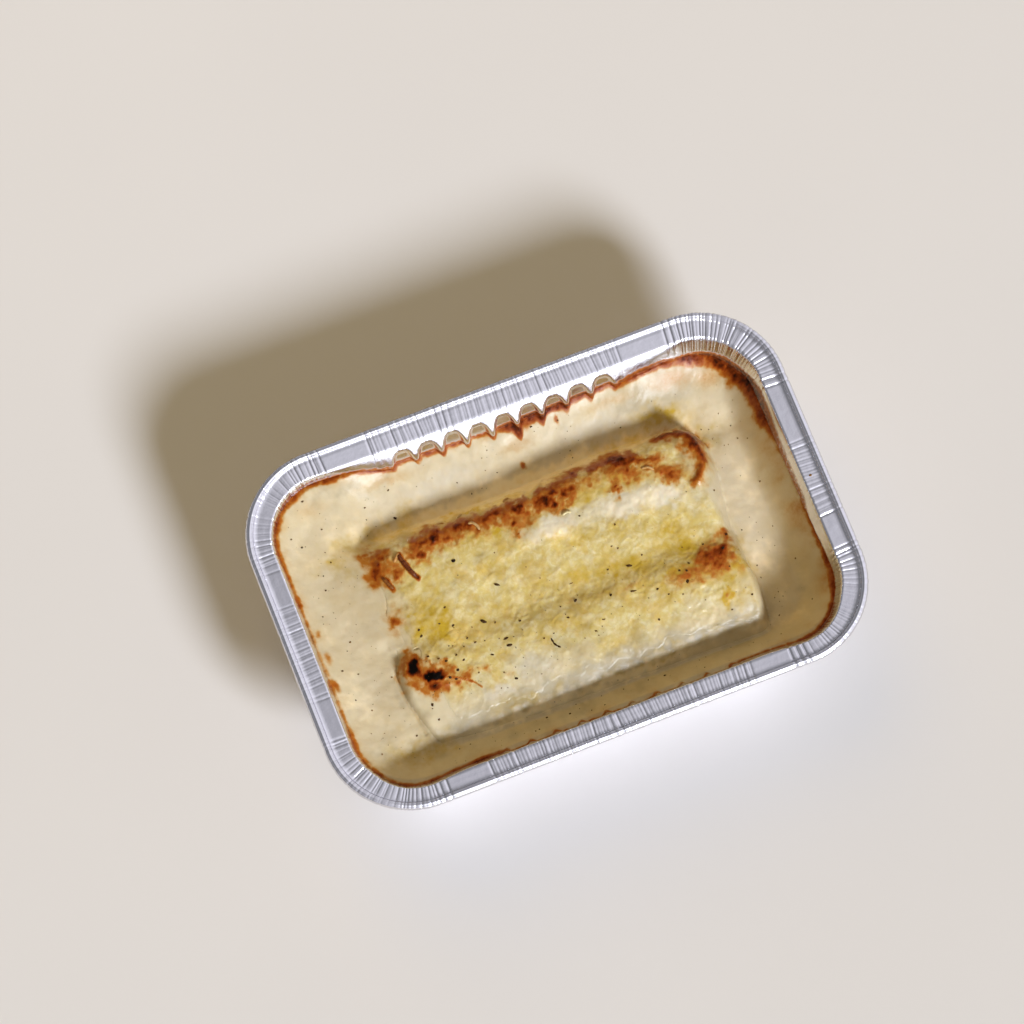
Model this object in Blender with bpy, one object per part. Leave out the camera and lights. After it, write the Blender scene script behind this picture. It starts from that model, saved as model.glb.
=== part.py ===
"""A foil tray meal: two filled rolls side by side in cream sauce, under one layer of grated cheese.

Metres, +Z up. +X runs along the tray, +Y points to its far long side, and the origin is the
middle of the base, on the surface that the tray stands on.
"""

import math
import random

import bmesh
import bpy
from mathutils import Vector, noise

# The foil tray
RIM_LENGTH = 0.206
RIM_WIDTH = 0.138
RIM_CORNER_RADIUS = 0.032
TRAY_HEIGHT = 0.041
FOIL = 0.0004
BEAD_RADIUS = 0.0018
FLANGE_INSET = 0.0094
FLANGE_DROP = 0.0013
LIP_INSET = 0.0101
LIP_TOP = TRAY_HEIGHT - 0.0023
WALL_TOP_INSET = 0.0114
WALL_TOP = TRAY_HEIGHT - 0.0072
HEEL_INSET = 0.0212
HEEL_HEIGHT = 0.0030
FLOOR_INSET = 0.0238
FOLD_DEPTH = 0.0016
CRIMP_HEIGHT = 0.00022
BEAD_ANGLES = (30, 95, 160, 225, 290)

# Folds of the wall: how many and how far apart on the long and the short sides
LONG_SIDE_FOLDS = 10
LONG_FOLD_PITCH = 0.0095
SHORT_SIDE_FOLDS = 4
SHORT_FOLD_PITCH = 0.0100
STEPS_PER_FOLD = 4
CORNER_STEPS = 16
CORNER_FOLD = 0.35

# The sauce: its level falls towards +X, and it climbs the walls
GAP = 0.0004
SAUCE_LEVEL = 0.0233
SAUCE_FALL = 0.040
EDGE_LEFT = 0.0330
EDGE_RIGHT = 0.0315
EDGE_FAR_END = 0.0305
EDGE_FAR_MIDDLE = 0.0250
EDGE_NEAR = 0.0300
CLIMB_REACH = 0.013
SAUCE_UNDER_ROLLS = 0.0026

# The two rolls and the layer over them
ROLL_HALF_LENGTH = 0.0662
ROLL_BOTTOM = SAUCE_UNDER_ROLLS + GAP
FAR_ROLL = {"centre": 0.0097, "half_width": 0.0198, "top": 0.0330, "boxiness": 4.0, "tilt": 0.030}
NEAR_ROLL = {"centre": -0.0283, "half_width": 0.0176, "top": 0.0322, "boxiness": 3.2, "tilt": 0.050}
GROOVE = (FAR_ROLL["centre"] - FAR_ROLL["half_width"] + NEAR_ROLL["centre"] + NEAR_ROLL["half_width"]) / 2
GROOVE_REACH = 0.0052
GROOVE_DIP = 0.0009
NOTCH_DEPTH = 0.0018
NOTCH_WIDTH = 0.0026
CAVITY_RADIUS = 0.005
ROLL_STATIONS = ((-1.0, 0.80), (-0.975, 0.94), (-0.93, 1.0), (-0.62, 1.0), (-0.31, 1.0), (0.0, 1.0))
ROLL_POINTS = 20

CHEESE_GAP = 0.0005
CHEESE_HALF_LENGTH = 0.0635
CHEESE_FAR = 0.0284
CHEESE_NEAR = -0.0438
CHEESE_THICKNESS = 0.0011
CHEESE_EDGE = 0.0004
CREST_Y = 0.0235
CREST_WIDTH = 0.0042
CREST_HEIGHT = 0.0013
CHEESE_STEPS_X = 22
CHEESE_STEPS_Y = 18
CHEESE_SAG = 0.0012
SHRED_COUNT = 34
SHRED_HALF_WIDTH = 0.0008
SHRED_HALF_HEIGHT = 0.00055
SHRED_STEPS = 3
SEED = 7

FOIL_COLOUR = (0.80, 0.80, 0.82)
SAUCE_COLOUR = (0.72, 0.58, 0.36)
ROLL_COLOUR = (0.76, 0.62, 0.38)
CHEESE_COLOUR = (0.78, 0.62, 0.26)


def clear_scene():
    for obj in list(bpy.data.objects):
        bpy.data.objects.remove(obj)


def material(name, colour, roughness, metallic=0.0):
    made = bpy.data.materials.new(name)
    made.use_nodes = True
    shader = made.node_tree.nodes["Principled BSDF"]
    shader.inputs["Base Color"].default_value = (*colour, 1.0)
    shader.inputs["Roughness"].default_value = roughness
    shader.inputs["Metallic"].default_value = metallic
    return made


def blend(low, high, share):
    return low + (high - low) * share


def smoothstep(low, high, value):
    share = min(1.0, max(0.0, (value - low) / (high - low)))
    return share * share * (3.0 - 2.0 * share)


def uneven(x, y, size, seed=0.0):
    """Smooth unevenness from -1 to 1, with bumps about as wide as size."""
    return noise.noise(Vector((x / size, y / size, seed)))


def mesh_object(name, bm, mat, sharp_angle=40):
    bmesh.ops.recalc_face_normals(bm, faces=bm.faces)
    mesh = bpy.data.meshes.new(name)
    bm.to_mesh(mesh)
    bm.free()
    mesh.materials.append(mat)
    mesh.shade_smooth()
    mesh.set_sharp_from_angle(angle=math.radians(sharp_angle))
    obj = bpy.data.objects.new(name, mesh)
    bpy.context.scene.collection.objects.link(obj)
    return obj


def loft(bm, rings):
    """Joins rings of points one after the other, and closes the first and the last with a face."""
    loops = [[bm.verts.new(point) for point in ring] for ring in rings]
    count = len(loops[0])
    for low, high in zip(loops, loops[1:]):
        for i in range(count):
            j = (i + 1) % count
            bm.faces.new((low[i], low[j], high[j], high[i]))
    bm.faces.new(loops[0])
    bm.faces.new(loops[-1])
    return loops


class Station:
    """A place round the rim: its point on the outermost line, the normal there, and its folds."""

    def __init__(self, x, y, normal, fold, crimp):
        self.x, self.y = x, y
        self.normal = normal
        self.fold = fold
        self.crimp = crimp

    def at(self, inset, height):
        return Vector((self.x - self.normal[0] * inset, self.y - self.normal[1] * inset, height))


def side_offsets(half, folds, pitch):
    """Offsets along a straight side with the fold there, from +half to -half, both ends left out."""
    edge = folds * pitch / 2
    margin = (half + edge) / 2
    steps = folds * STEPS_PER_FOLD
    yield margin, 0.0
    for k in range(steps + 1):
        yield edge - k * pitch / STEPS_PER_FOLD, (1 - math.cos(2 * math.pi * k / STEPS_PER_FOLD)) / 2
    yield -margin, 0.0


def rim_stations():
    """The stations anticlockwise from the far side's right end."""
    half_x = RIM_LENGTH / 2 - RIM_CORNER_RADIUS
    half_y = RIM_WIDTH / 2 - RIM_CORNER_RADIUS
    stations = []
    for quarter in range(4):
        turn = math.radians(90 * (quarter + 1))
        normal = (math.cos(turn), math.sin(turn))
        long_side = quarter % 2 == 0
        half = half_x if long_side else half_y
        reach = RIM_WIDTH / 2 if long_side else RIM_LENGTH / 2
        folds = LONG_SIDE_FOLDS if long_side else SHORT_SIDE_FOLDS
        pitch = LONG_FOLD_PITCH if long_side else SHORT_FOLD_PITCH
        for k, (offset, fold) in enumerate(side_offsets(half, folds, pitch)):
            x = normal[0] * reach + normal[1] * offset
            y = normal[1] * reach - normal[0] * offset
            plain = k == 0 or abs(offset) > folds * pitch / 2
            crimp = 0.0 if plain else (-1) ** k
            stations.append(Station(x, y, normal, fold, crimp))
        centre_x = half_x * (normal[0] - normal[1])
        centre_y = half_y * (normal[1] + normal[0])
        for k in range(CORNER_STEPS + 1):
            angle = turn + math.radians(90 * k / CORNER_STEPS)
            out = (math.cos(angle), math.sin(angle))
            x = centre_x + RIM_CORNER_RADIUS * out[0]
            y = centre_y + RIM_CORNER_RADIUS * out[1]
            up = k % 2
            stations.append(Station(x, y, out, CORNER_FOLD * up, 1.0 - 2.0 * up))
    return stations


def wall_inset(height):
    """How far inside the outermost line the plain inner wall is at this height."""
    share = (height - HEEL_HEIGHT) / (WALL_TOP - HEEL_HEIGHT)
    return blend(HEEL_INSET, WALL_TOP_INSET, share)


def tray_profile():
    """Rows of inset, height, depth of fold and height of crimp, from the inner floor over the rim to the base."""
    flange = TRAY_HEIGHT - FLANGE_DROP
    bead_centre = TRAY_HEIGHT - BEAD_RADIUS
    rows = [
        (FLOOR_INSET, FOIL, 0.0, 0.0),
        (HEEL_INSET, HEEL_HEIGHT, FOLD_DEPTH / 2, 0.0),
        (WALL_TOP_INSET, WALL_TOP, FOLD_DEPTH, 0.0),
        (LIP_INSET, LIP_TOP, 0.0, 0.0),
        (FLANGE_INSET, flange, 0.0, CRIMP_HEIGHT),
    ]
    for angle in BEAD_ANGLES:
        inset = BEAD_RADIUS * (1 + math.cos(math.radians(angle)))
        height = bead_centre + BEAD_RADIUS * math.sin(math.radians(angle))
        rows.append((inset, height, 0.0, CRIMP_HEIGHT))
    rows += [
        (FLANGE_INSET, flange - FOIL, 0.0, CRIMP_HEIGHT),
        (LIP_INSET - FOIL, LIP_TOP - FOIL, 0.0, 0.0),
        (WALL_TOP_INSET - FOIL, WALL_TOP, FOLD_DEPTH, 0.0),
        (HEEL_INSET - FOIL, HEEL_HEIGHT, FOLD_DEPTH / 2, 0.0),
        (FLOOR_INSET - FOIL, 0.0, 0.0, 0.0),
    ]
    return rows


def make_tray(stations, mat):
    rings = [
        [s.at(inset + fold * s.fold, height + crimp * s.crimp) for s in stations]
        for inset, height, fold, crimp in tray_profile()
    ]
    bm = bmesh.new()
    loft(bm, rings)
    return mesh_object("tray", bm, mat, sharp_angle=25)


def sauce_level(x):
    return SAUCE_LEVEL - SAUCE_FALL * x


def sauce_edge(x, y):
    """Height of the line where the sauce meets the wall."""
    along = smoothstep(0.010, 0.070, abs(x))
    long_side = blend(EDGE_FAR_MIDDLE, EDGE_FAR_END, along) if y > 0 else EDGE_NEAR
    short_side = EDGE_RIGHT if x > 0 else EDGE_LEFT
    return blend(long_side, short_side, smoothstep(0.062, 0.088, abs(x)))


def sauce_height(x, y, distance):
    """Height of the sauce at this distance from the wall."""
    level = sauce_level(x)
    climb = 1.0 - smoothstep(0.0, CLIMB_REACH, distance)
    ripple = 0.0003 * uneven(x, y, 0.018) * smoothstep(0.0, CLIMB_REACH, distance)
    return level + (sauce_edge(x, y) - level) * climb + ripple


def cavity_point(station):
    """The place of the rolls' outline that this station faces."""
    far = FAR_ROLL["centre"] + FAR_ROLL["half_width"] + GAP
    near = NEAR_ROLL["centre"] - NEAR_ROLL["half_width"] - GAP
    half_x = ROLL_HALF_LENGTH + GAP
    half_y = (far - near) / 2
    core = station.at(RIM_CORNER_RADIUS, 0.0)
    x = core.x * (half_x - CAVITY_RADIUS) / (RIM_LENGTH / 2 - RIM_CORNER_RADIUS)
    y = core.y * (half_y - CAVITY_RADIUS) / (RIM_WIDTH / 2 - RIM_CORNER_RADIUS)
    x += CAVITY_RADIUS * station.normal[0]
    y += CAVITY_RADIUS * station.normal[1] + (far + near) / 2
    if abs(station.normal[1]) < 0.001:
        notch = NOTCH_DEPTH * math.exp(-(((y - GROOVE) / NOTCH_WIDTH) ** 2))
        x -= math.copysign(notch, x)
    return x, y


def make_sauce(stations, mat):
    floor = FOIL + GAP
    rings = [
        [s.at(FLOOR_INSET + GAP, floor) for s in stations],
        [s.at(HEEL_INSET + GAP + FOLD_DEPTH / 2 * s.fold, HEEL_HEIGHT) for s in stations],
    ]
    edge = []
    for s in stations:
        height = sauce_edge(s.x, s.y)
        share = (height - HEEL_HEIGHT) / (WALL_TOP - HEEL_HEIGHT)
        fold = blend(FOLD_DEPTH / 2, FOLD_DEPTH, share) * s.fold
        edge.append(s.at(wall_inset(height) + GAP + fold, height))
    rings.append(edge)
    inner = [cavity_point(s) for s in stations]
    for share in (0.35, 0.7, 1.0):
        ring = []
        for point, (x, y) in zip(edge, inner):
            place = Vector((blend(point.x, x, share), blend(point.y, y, share)))
            distance = (place - point.xy).length
            ring.append(Vector((*place, sauce_height(place.x, place.y, distance))))
        rings.append(ring)
    rings.append([Vector((x, y, SAUCE_UNDER_ROLLS)) for x, y in inner])
    bm = bmesh.new()
    loft(bm, rings)
    return mesh_object("sauce", bm, mat)


def roll_ring(roll, share, scale):
    """One cross-section of a roll: a rounded box, uneven along its length."""
    middle = (roll["top"] + ROLL_BOTTOM) / 2
    half_height = (roll["top"] - ROLL_BOTTOM) / 2
    x = share * ROLL_HALF_LENGTH
    power = 2.0 / roll["boxiness"]
    points = []
    for k in range(ROLL_POINTS):
        angle = 2 * math.pi * (k + 0.5) / ROLL_POINTS
        across, up = math.cos(angle), math.sin(angle)
        y = math.copysign(abs(across) ** power, across) * roll["half_width"] * scale
        z = math.copysign(abs(up) ** power, up) * half_height * scale
        z += roll["tilt"] * y * (up > 0)
        points.append(Vector((x, roll["centre"] + y, middle + z)))
    return points


def make_roll(name, roll, mat):
    stations = [*ROLL_STATIONS, *((-share, scale) for share, scale in reversed(ROLL_STATIONS[:-1]))]
    bm = bmesh.new()
    loft(bm, [roll_ring(roll, share, scale) for share, scale in stations])
    return mesh_object(name, bm, mat)


def roll_top(roll, x, y):
    """Height of a roll's upper surface at x, y."""
    middle = (roll["top"] + ROLL_BOTTOM) / 2
    half_height = (roll["top"] - ROLL_BOTTOM) / 2
    offset = y - roll["centre"]
    across = min(1.0, abs(offset) / roll["half_width"])
    dome = (1.0 - across ** roll["boxiness"]) ** (1.0 / roll["boxiness"])
    return middle + half_height * dome + roll["tilt"] * offset


def rolls_top(x, y):
    """Height of both rolls together, with the groove between them bridged."""
    if y >= GROOVE + GROOVE_REACH:
        return roll_top(FAR_ROLL, x, y)
    if y <= GROOVE - GROOVE_REACH:
        return roll_top(NEAR_ROLL, x, y)
    share = (y - GROOVE + GROOVE_REACH) / (2 * GROOVE_REACH)
    near = roll_top(NEAR_ROLL, x, GROOVE - GROOVE_REACH)
    far = roll_top(FAR_ROLL, x, GROOVE + GROOVE_REACH)
    return blend(near, far, share) - GROOVE_DIP * math.sin(math.pi * share)


def cheese_thickness(x, y, edge_share):
    """Thickness of the layer: thickest along the browned crest, and down to nothing much at its edge."""
    crest = CREST_HEIGHT * math.exp(-(((y - CREST_Y) / CREST_WIDTH) ** 2))
    lumps = 0.0004 * uneven(x, y, 0.007, 3.0)
    return CHEESE_EDGE + (CHEESE_THICKNESS + crest + lumps) * (1.0 - edge_share**6)


def cheese_base(x, y):
    """Height of the layer's underside, clear of the rolls between its own points too."""
    return max(rolls_top(x, y + shift) for shift in (-CHEESE_SAG, 0.0, CHEESE_SAG)) + CHEESE_GAP


def cheese_place(u, v):
    """A point of the layer's plan, with u and v from -1 to 1, and how near the edge it is."""
    half_y = (CHEESE_FAR - CHEESE_NEAR) / 2
    middle_y = (CHEESE_FAR + CHEESE_NEAR) / 2
    edge_share = max(abs(u), abs(v))
    ragged = 0.0016 * edge_share**4
    x = u * CHEESE_HALF_LENGTH * (1 - 0.05 * v**6) + ragged * uneven(u, v, 0.21, 5.0)
    y = middle_y + v * half_y * (1 - 0.05 * u**6) + ragged * 0.5 * uneven(u, v, 0.17, 9.0)
    return x, y, edge_share


def make_cheese(mat):
    """The layer as one skin over both rolls, with the largest shreds fused on."""
    bm = bmesh.new()
    lower, upper = {}, {}
    for i in range(CHEESE_STEPS_X + 1):
        for j in range(CHEESE_STEPS_Y + 1):
            u = 2 * i / CHEESE_STEPS_X - 1
            v = math.sin(math.pi * (j / CHEESE_STEPS_Y - 0.5))
            x, y, edge_share = cheese_place(u, v)
            base = cheese_base(x, y)
            lower[i, j] = bm.verts.new((x, y, base))
            upper[i, j] = bm.verts.new((x, y, base + cheese_thickness(x, y, edge_share)))
    for i in range(CHEESE_STEPS_X):
        for j in range(CHEESE_STEPS_Y):
            corners = ((i, j), (i + 1, j), (i + 1, j + 1), (i, j + 1))
            bm.faces.new([upper[c] for c in corners])
            bm.faces.new([lower[c] for c in reversed(corners)])
    border = [(i, 0) for i in range(CHEESE_STEPS_X)]
    border += [(CHEESE_STEPS_X, j) for j in range(CHEESE_STEPS_Y)]
    border += [(i, CHEESE_STEPS_Y) for i in range(CHEESE_STEPS_X, 0, -1)]
    border += [(0, j) for j in range(CHEESE_STEPS_Y, 0, -1)]
    for here, after in zip(border, border[1:] + border[:1]):
        bm.faces.new((lower[here], lower[after], upper[after], upper[here]))
    skin = mesh_object("cheese", bm, mat)
    fuse_shreds(skin, mat)
    return skin


def shred_rings(x, y, heading, length, bend):
    """Cross-sections of a shred that lies on the layer, half sunk in it."""
    rings = []
    for k in range(SHRED_STEPS + 1):
        along = k / SHRED_STEPS - 0.5
        turn = heading + bend * along
        px = x + math.cos(turn) * length * along
        py = y + math.sin(turn) * length * along
        taper = 1.0 - 0.45 * abs(2 * along) ** 2
        side = Vector((-math.sin(turn), math.cos(turn), 0)) * SHRED_HALF_WIDTH * taper
        lift = Vector((0, 0, SHRED_HALF_HEIGHT * taper))
        middle = Vector((px, py, cheese_base(px, py) + cheese_thickness(px, py, 0.0)))
        rings.append([middle + side - lift * 0.6, middle + side * 0.5 + lift,
                      middle - side * 0.5 + lift, middle - side - lift * 0.6])
    return rings


def fuse_shreds(skin, mat):
    """Spreads shreds evenly by a grid with a seeded jitter, and joins them to the layer."""
    random.seed(SEED)
    shreds = bpy.data.collections.new("shreds")
    bpy.context.scene.collection.children.link(shreds)
    columns = math.ceil(math.sqrt(SHRED_COUNT * CHEESE_HALF_LENGTH * 2 / (CHEESE_FAR - CHEESE_NEAR)))
    rows = math.ceil(SHRED_COUNT / columns)
    for k in range(SHRED_COUNT):
        column, row = k % columns, k // columns
        x = blend(-0.055, 0.055, (column + random.uniform(0.2, 0.8)) / columns)
        y = blend(-0.037, 0.023, (row + random.uniform(0.2, 0.8)) / rows)
        heading = random.uniform(0, math.pi)
        length = random.uniform(0.008, 0.014)
        bm = bmesh.new()
        loft(bm, shred_rings(x, y, heading, length, random.uniform(-1.2, 1.2)))
        shred = mesh_object(f"shred_{k}", bm, mat)
        bpy.context.scene.collection.objects.unlink(shred)
        shreds.objects.link(shred)
    union = skin.modifiers.new("fuse", "BOOLEAN")
    union.operation = "UNION"
    union.operand_type = "COLLECTION"
    union.collection = shreds
    union.solver = "EXACT"
    bpy.context.view_layer.update()
    graph = bpy.context.evaluated_depsgraph_get()
    fused = bpy.data.meshes.new_from_object(skin.evaluated_get(graph))
    skin.modifiers.remove(union)
    skin.data = fused
    for shred in list(shreds.objects):
        bpy.data.objects.remove(shred)
    bpy.data.collections.remove(shreds)


def main():
    clear_scene()
    stations = rim_stations()
    make_tray(stations, material("foil", FOIL_COLOUR, 0.28, 1.0))
    make_sauce(stations, material("cream_sauce", SAUCE_COLOUR, 0.40))
    roll_material = material("roll_surface", ROLL_COLOUR, 0.45)
    make_roll("roll_far", FAR_ROLL, roll_material)
    make_roll("roll_near", NEAR_ROLL, roll_material)
    make_cheese(material("melted_cheese", CHEESE_COLOUR, 0.35))


main()
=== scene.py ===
"""Looks of a foil tray meal: two filled rolls in cream sauce, under browned and melted cheese.

Lengths are in millimetres, in the tray's own frame, until a mesh is made from them. +X runs
along the tray, +Y points to its far long side, and z = 0 is the surface that it stands on.
"""

import math

import bpy
import numpy as np
from mathutils import Matrix, Vector
from mathutils.bvhtree import BVHTree

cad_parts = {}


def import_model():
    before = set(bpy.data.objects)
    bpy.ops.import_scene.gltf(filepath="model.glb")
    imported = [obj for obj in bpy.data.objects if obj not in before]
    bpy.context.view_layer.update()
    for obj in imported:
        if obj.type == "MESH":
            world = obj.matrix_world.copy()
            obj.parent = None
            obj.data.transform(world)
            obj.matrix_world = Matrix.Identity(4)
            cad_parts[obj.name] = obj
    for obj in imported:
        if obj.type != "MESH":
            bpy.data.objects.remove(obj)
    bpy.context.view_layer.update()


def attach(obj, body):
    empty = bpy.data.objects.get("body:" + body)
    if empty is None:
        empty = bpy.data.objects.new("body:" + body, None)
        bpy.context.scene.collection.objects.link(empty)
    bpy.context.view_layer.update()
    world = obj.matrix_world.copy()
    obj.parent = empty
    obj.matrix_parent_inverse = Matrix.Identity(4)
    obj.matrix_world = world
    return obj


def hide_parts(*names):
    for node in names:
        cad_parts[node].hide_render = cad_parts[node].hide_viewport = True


MM = 0.001
# How many steps of a top surface make one step of its underside
UNDER_STEP = 4

# The foil tray
RIM_HALF_X = 102.8
RIM_HALF_Y = 68.8
RIM_CORNER = 32.0
STRAIGHT_X = RIM_HALF_X - RIM_CORNER
STRAIGHT_Y = RIM_HALF_Y - RIM_CORNER
TRAY_HEIGHT = 41.0
FOIL = 0.4
BEAD_RADIUS = 1.55
BEAD_ANGLES = np.linspace(28.0, 300.0, 25)
BEAD_RIPPLE = 0.12
BEAD_RIPPLES = 8.0
FLANGE_HEIGHT = 39.7
FLANGE_INSET = 9.3
FLANGE_OUTER_INSET = 3.3
FLANGE_RINGS = (9.0, 8.6, 7.7, 6.7, 5.7, 4.7, 3.8)
FLANGE_UNDER_RINGS = (3.9, 8.4)
BASE_INSET = 23.6
NEAR_NARROWER = 1.35
FOIL_STATIONS = 2360
INNER_HEIGHTS = np.linspace(22.0, 39.45, 19)
FLANGE_UNEVENNESS = 0.12

# Heights from which the creases run into the wall and where they are full, on a side and at a corner
PLEATS_FROM = (35.0, 30.0)
PLEATS_FULL = (39.0, 37.0)

# Heights of the plain inner wall, and how far inside the outermost line it is there
WALL_HEIGHTS = (0.4, 3.0, 33.8, 36.0, 37.6, 38.8, 39.7)
WALL_INSETS = (23.8, 21.2, 11.5, 10.7, 10.2, 9.8, 9.3)

# The far wall's lip, which leans further in than the plain wall, and the flutes below it
LIP_HEIGHTS = (15.0, 20.0, 25.0, 30.0, 33.0, 34.5, 36.2, 37.6, 38.7, 39.45, 39.72)
LIP_EXTRA = (0.0, 1.3, 3.0, 4.7, 4.8, 4.3, 3.3, 2.3, 1.2, 0.5, 0.0)
LIP_BOW = (
    (-70.0, 0.0), (-63.0, 0.16), (-56.0, 0.32), (-49.0, 0.48), (-42.0, 0.66), (-32.0, 0.74), (-22.0, 0.80),
    (-10.0, 0.92), (0.0, 1.0), (10.0, 0.92), (22.0, 0.80), (32.0, 0.74), (42.0, 0.66), (50.0, 0.60),
    (58.0, 0.54), (64.0, 0.44), (70.8, 0.27),
)
CORNER_LIP = 0.26
FLUTE_PITCH = 9.7
FLUTE_MIDDLE = 1.3
FLUTE_TOP = 38.1
FLUTE_SPRING = 32.0
FLUTE_HALF = 3.7
FLUTE_DEPTH = 0.55
FLUTES_REACH = 45.0
FLUTE_EDGE = 1.1
FLUTE_FADE = (12.0, 22.0)
TOP_SWING = 0.4
NEAR_FLUTE_DEPTH = 1.3
FAR_TILT = 0.16
LEFT_TILT = 0.05

# The sauce
SAUCE_STATIONS = 1300
SAUCE_RINGS = 60
LEVEL_MIDDLE = 23.3
LEVEL_FALL = 0.040
CLIMB_REACH = 11.0
FAR_SLOPE_REACH = 25.0
FAR_STEEP_REACH = 17.0
FAR_SLOPE_RISE = 7.0
LEFT_LEVEL_RISE = 4.4

# The rolls, as one profile across both from the near foot to the far foot
ROLLS_PROFILE = (
    (-50.4, 14.0), (-49.9, 18.0), (-49.2, 21.0), (-48.2, 23.6), (-46.8, 26.0), (-45.2, 28.0),
    (-43.2, 29.4), (-40.4, 30.6), (-36.5, 31.7), (-32.0, 32.9), (-26.0, 34.0), (-20.5, 34.4), (-17.0, 34.1),
    (-14.0, 33.3), (-11.0, 32.8), (-8.0, 33.0), (-4.0, 33.7), (2.0, 34.5), (10.0, 35.1),
    (18.0, 35.5), (22.5, 35.7), (25.5, 35.1), (27.8, 33.6), (29.8, 31.2), (31.4, 28.3),
    (32.6, 25.0), (33.4, 22.0), (34.0, 14.0),
)
ROLLS_FOOT = 14.0
GROOVE_Y = -11.5

# The rolls' ends, as places across and along
LEFT_END = ((-46, -66.5), (-38, -68.6), (-28, -70.4), (-20, -70.4), (-12, -68.4), (-4, -67.0),
            (5, -66.2), (16, -67.0), (25, -66.5), (32, -64.0))
RIGHT_END = ((-46, 65.0), (-38, 66.2), (-30, 66.8), (-22, 66.0), (-10, 63.8), (-4, 64.4),
             (5, 65.8), (14, 67.2), (22, 67.4), (28, 66.0), (32, 62.4))

# The crease across the near roll's left end
CREASE = ((-65.4, -13.0), (-67.6, -16.0), (-68.6, -21.0), (-68.2, -28.0), (-66.8, -35.0), (-66.0, -41.0))


def srgb(red, green, blue):
    """A colour as seen on a screen, 0 to 255, as linear values."""
    return tuple(c / 12.92 if c <= 0.04045 else ((c + 0.055) / 1.055) ** 2.4
                 for c in (red / 255, green / 255, blue / 255))


def smoothstep(low, high, value):
    """From 0 at low to 1 at high, flat at both ends. Low may be the higher number."""
    share = np.clip((value - low) / (high - low), 0.0, 1.0)
    return share * share * (3.0 - 2.0 * share)


def window(value, low, low_full, high_full, high):
    """1 inside a stretch, and falling smoothly to 0 past both of its ends."""
    return smoothstep(low, low_full, value) * smoothstep(high, high_full, value)


def bell(distance, width):
    """1 at no distance, and nearly 0 at twice the width."""
    return np.exp(-((distance / width) ** 2))


def mix(low, high, share):
    return low + (high - low) * share


class Noise:
    """Smooth seeded unevenness over a plane, from -1 to 1."""

    def __init__(self, seed):
        self.table = np.random.default_rng(seed).uniform(-1.0, 1.0, (256, 256))

    def at(self, x, y, size):
        """One layer of noise, with bumps of about this size."""
        gx, gy = np.asarray(x) / size, np.asarray(y) / size
        ix, iy = np.floor(gx).astype(int), np.floor(gy).astype(int)
        fx, fy = gx - ix, gy - iy
        fx, fy = fx * fx * (3 - 2 * fx), fy * fy * (3 - 2 * fy)
        low = mix(self.table[ix & 255, iy & 255], self.table[(ix + 1) & 255, iy & 255], fx)
        high = mix(self.table[ix & 255, (iy + 1) & 255], self.table[(ix + 1) & 255, (iy + 1) & 255], fx)
        return mix(low, high, fy)

    def rough(self, x, y, size, octaves=3):
        """Layers of noise, each half as large as the one before and turned against it."""
        total, weight = 0.0, 1.0
        for k in range(octaves):
            turn = 0.6 + 1.1 * k
            tx = x * math.cos(turn) - y * math.sin(turn)
            ty = x * math.sin(turn) + y * math.cos(turn)
            total = total + weight * self.at(tx + 37.0 * k, ty, size)
            size *= 0.5
            weight *= 0.55
        return total


def segment_distance(x, y, start, end):
    """Distance of points from a segment."""
    dx, dy = end[0] - start[0], end[1] - start[1]
    along = np.clip(((x - start[0]) * dx + (y - start[1]) * dy) / (dx * dx + dy * dy), 0.0, 1.0)
    return np.hypot(x - start[0] - along * dx, y - start[1] - along * dy)


def path_distance(x, y, points):
    """Distance of points from a path of segments."""
    nearest = np.full(np.shape(x), 1e9)
    for start, end in zip(points, points[1:]):
        nearest = np.minimum(nearest, segment_distance(x, y, start, end))
    return nearest


def quads(index, wrap):
    """Faces between neighbouring rows and columns of vertex numbers."""
    after = np.roll(index, -1, axis=1) if wrap else index[:, 1:]
    here = index if wrap else index[:, :-1]
    return np.stack([here[:-1], after[:-1], after[1:], here[1:]], axis=-1).reshape(-1, 4)


def put(name, data):
    """A new object of the scene."""
    obj = bpy.data.objects.new(name, data)
    bpy.context.scene.collection.objects.link(obj)
    return obj


def new_mesh(name, points, faces, material, masks):
    """A smooth mesh object from points in millimetres, with a number for each mask and point."""
    mesh = bpy.data.meshes.new(name)
    mesh.from_pydata((points.reshape(-1, 3) * MM).tolist(), [], faces)
    mesh.materials.append(material)
    mesh.shade_smooth()
    for mask, values in masks.items():
        layer = mesh.attributes.new(mask, "FLOAT", "POINT")
        layer.data.foreach_set("value", np.asarray(values, dtype=np.float32).ravel())
    return put(name, mesh)


def tube_faces(index):
    """Faces of a closed tube, from a row of vertex numbers for each of its rings."""
    return quads(index, True).tolist() + [index[0, ::-1].tolist(), index[-1].tolist()]


def ring_solid(name, rings, material, masks):
    """Joins closed rings of points, given as an array (ring, point, 3), into a closed mesh."""
    index = np.arange(rings.shape[0] * rings.shape[1]).reshape(rings.shape[:2])
    return new_mesh(name, rings, tube_faces(index), material, masks)


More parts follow.
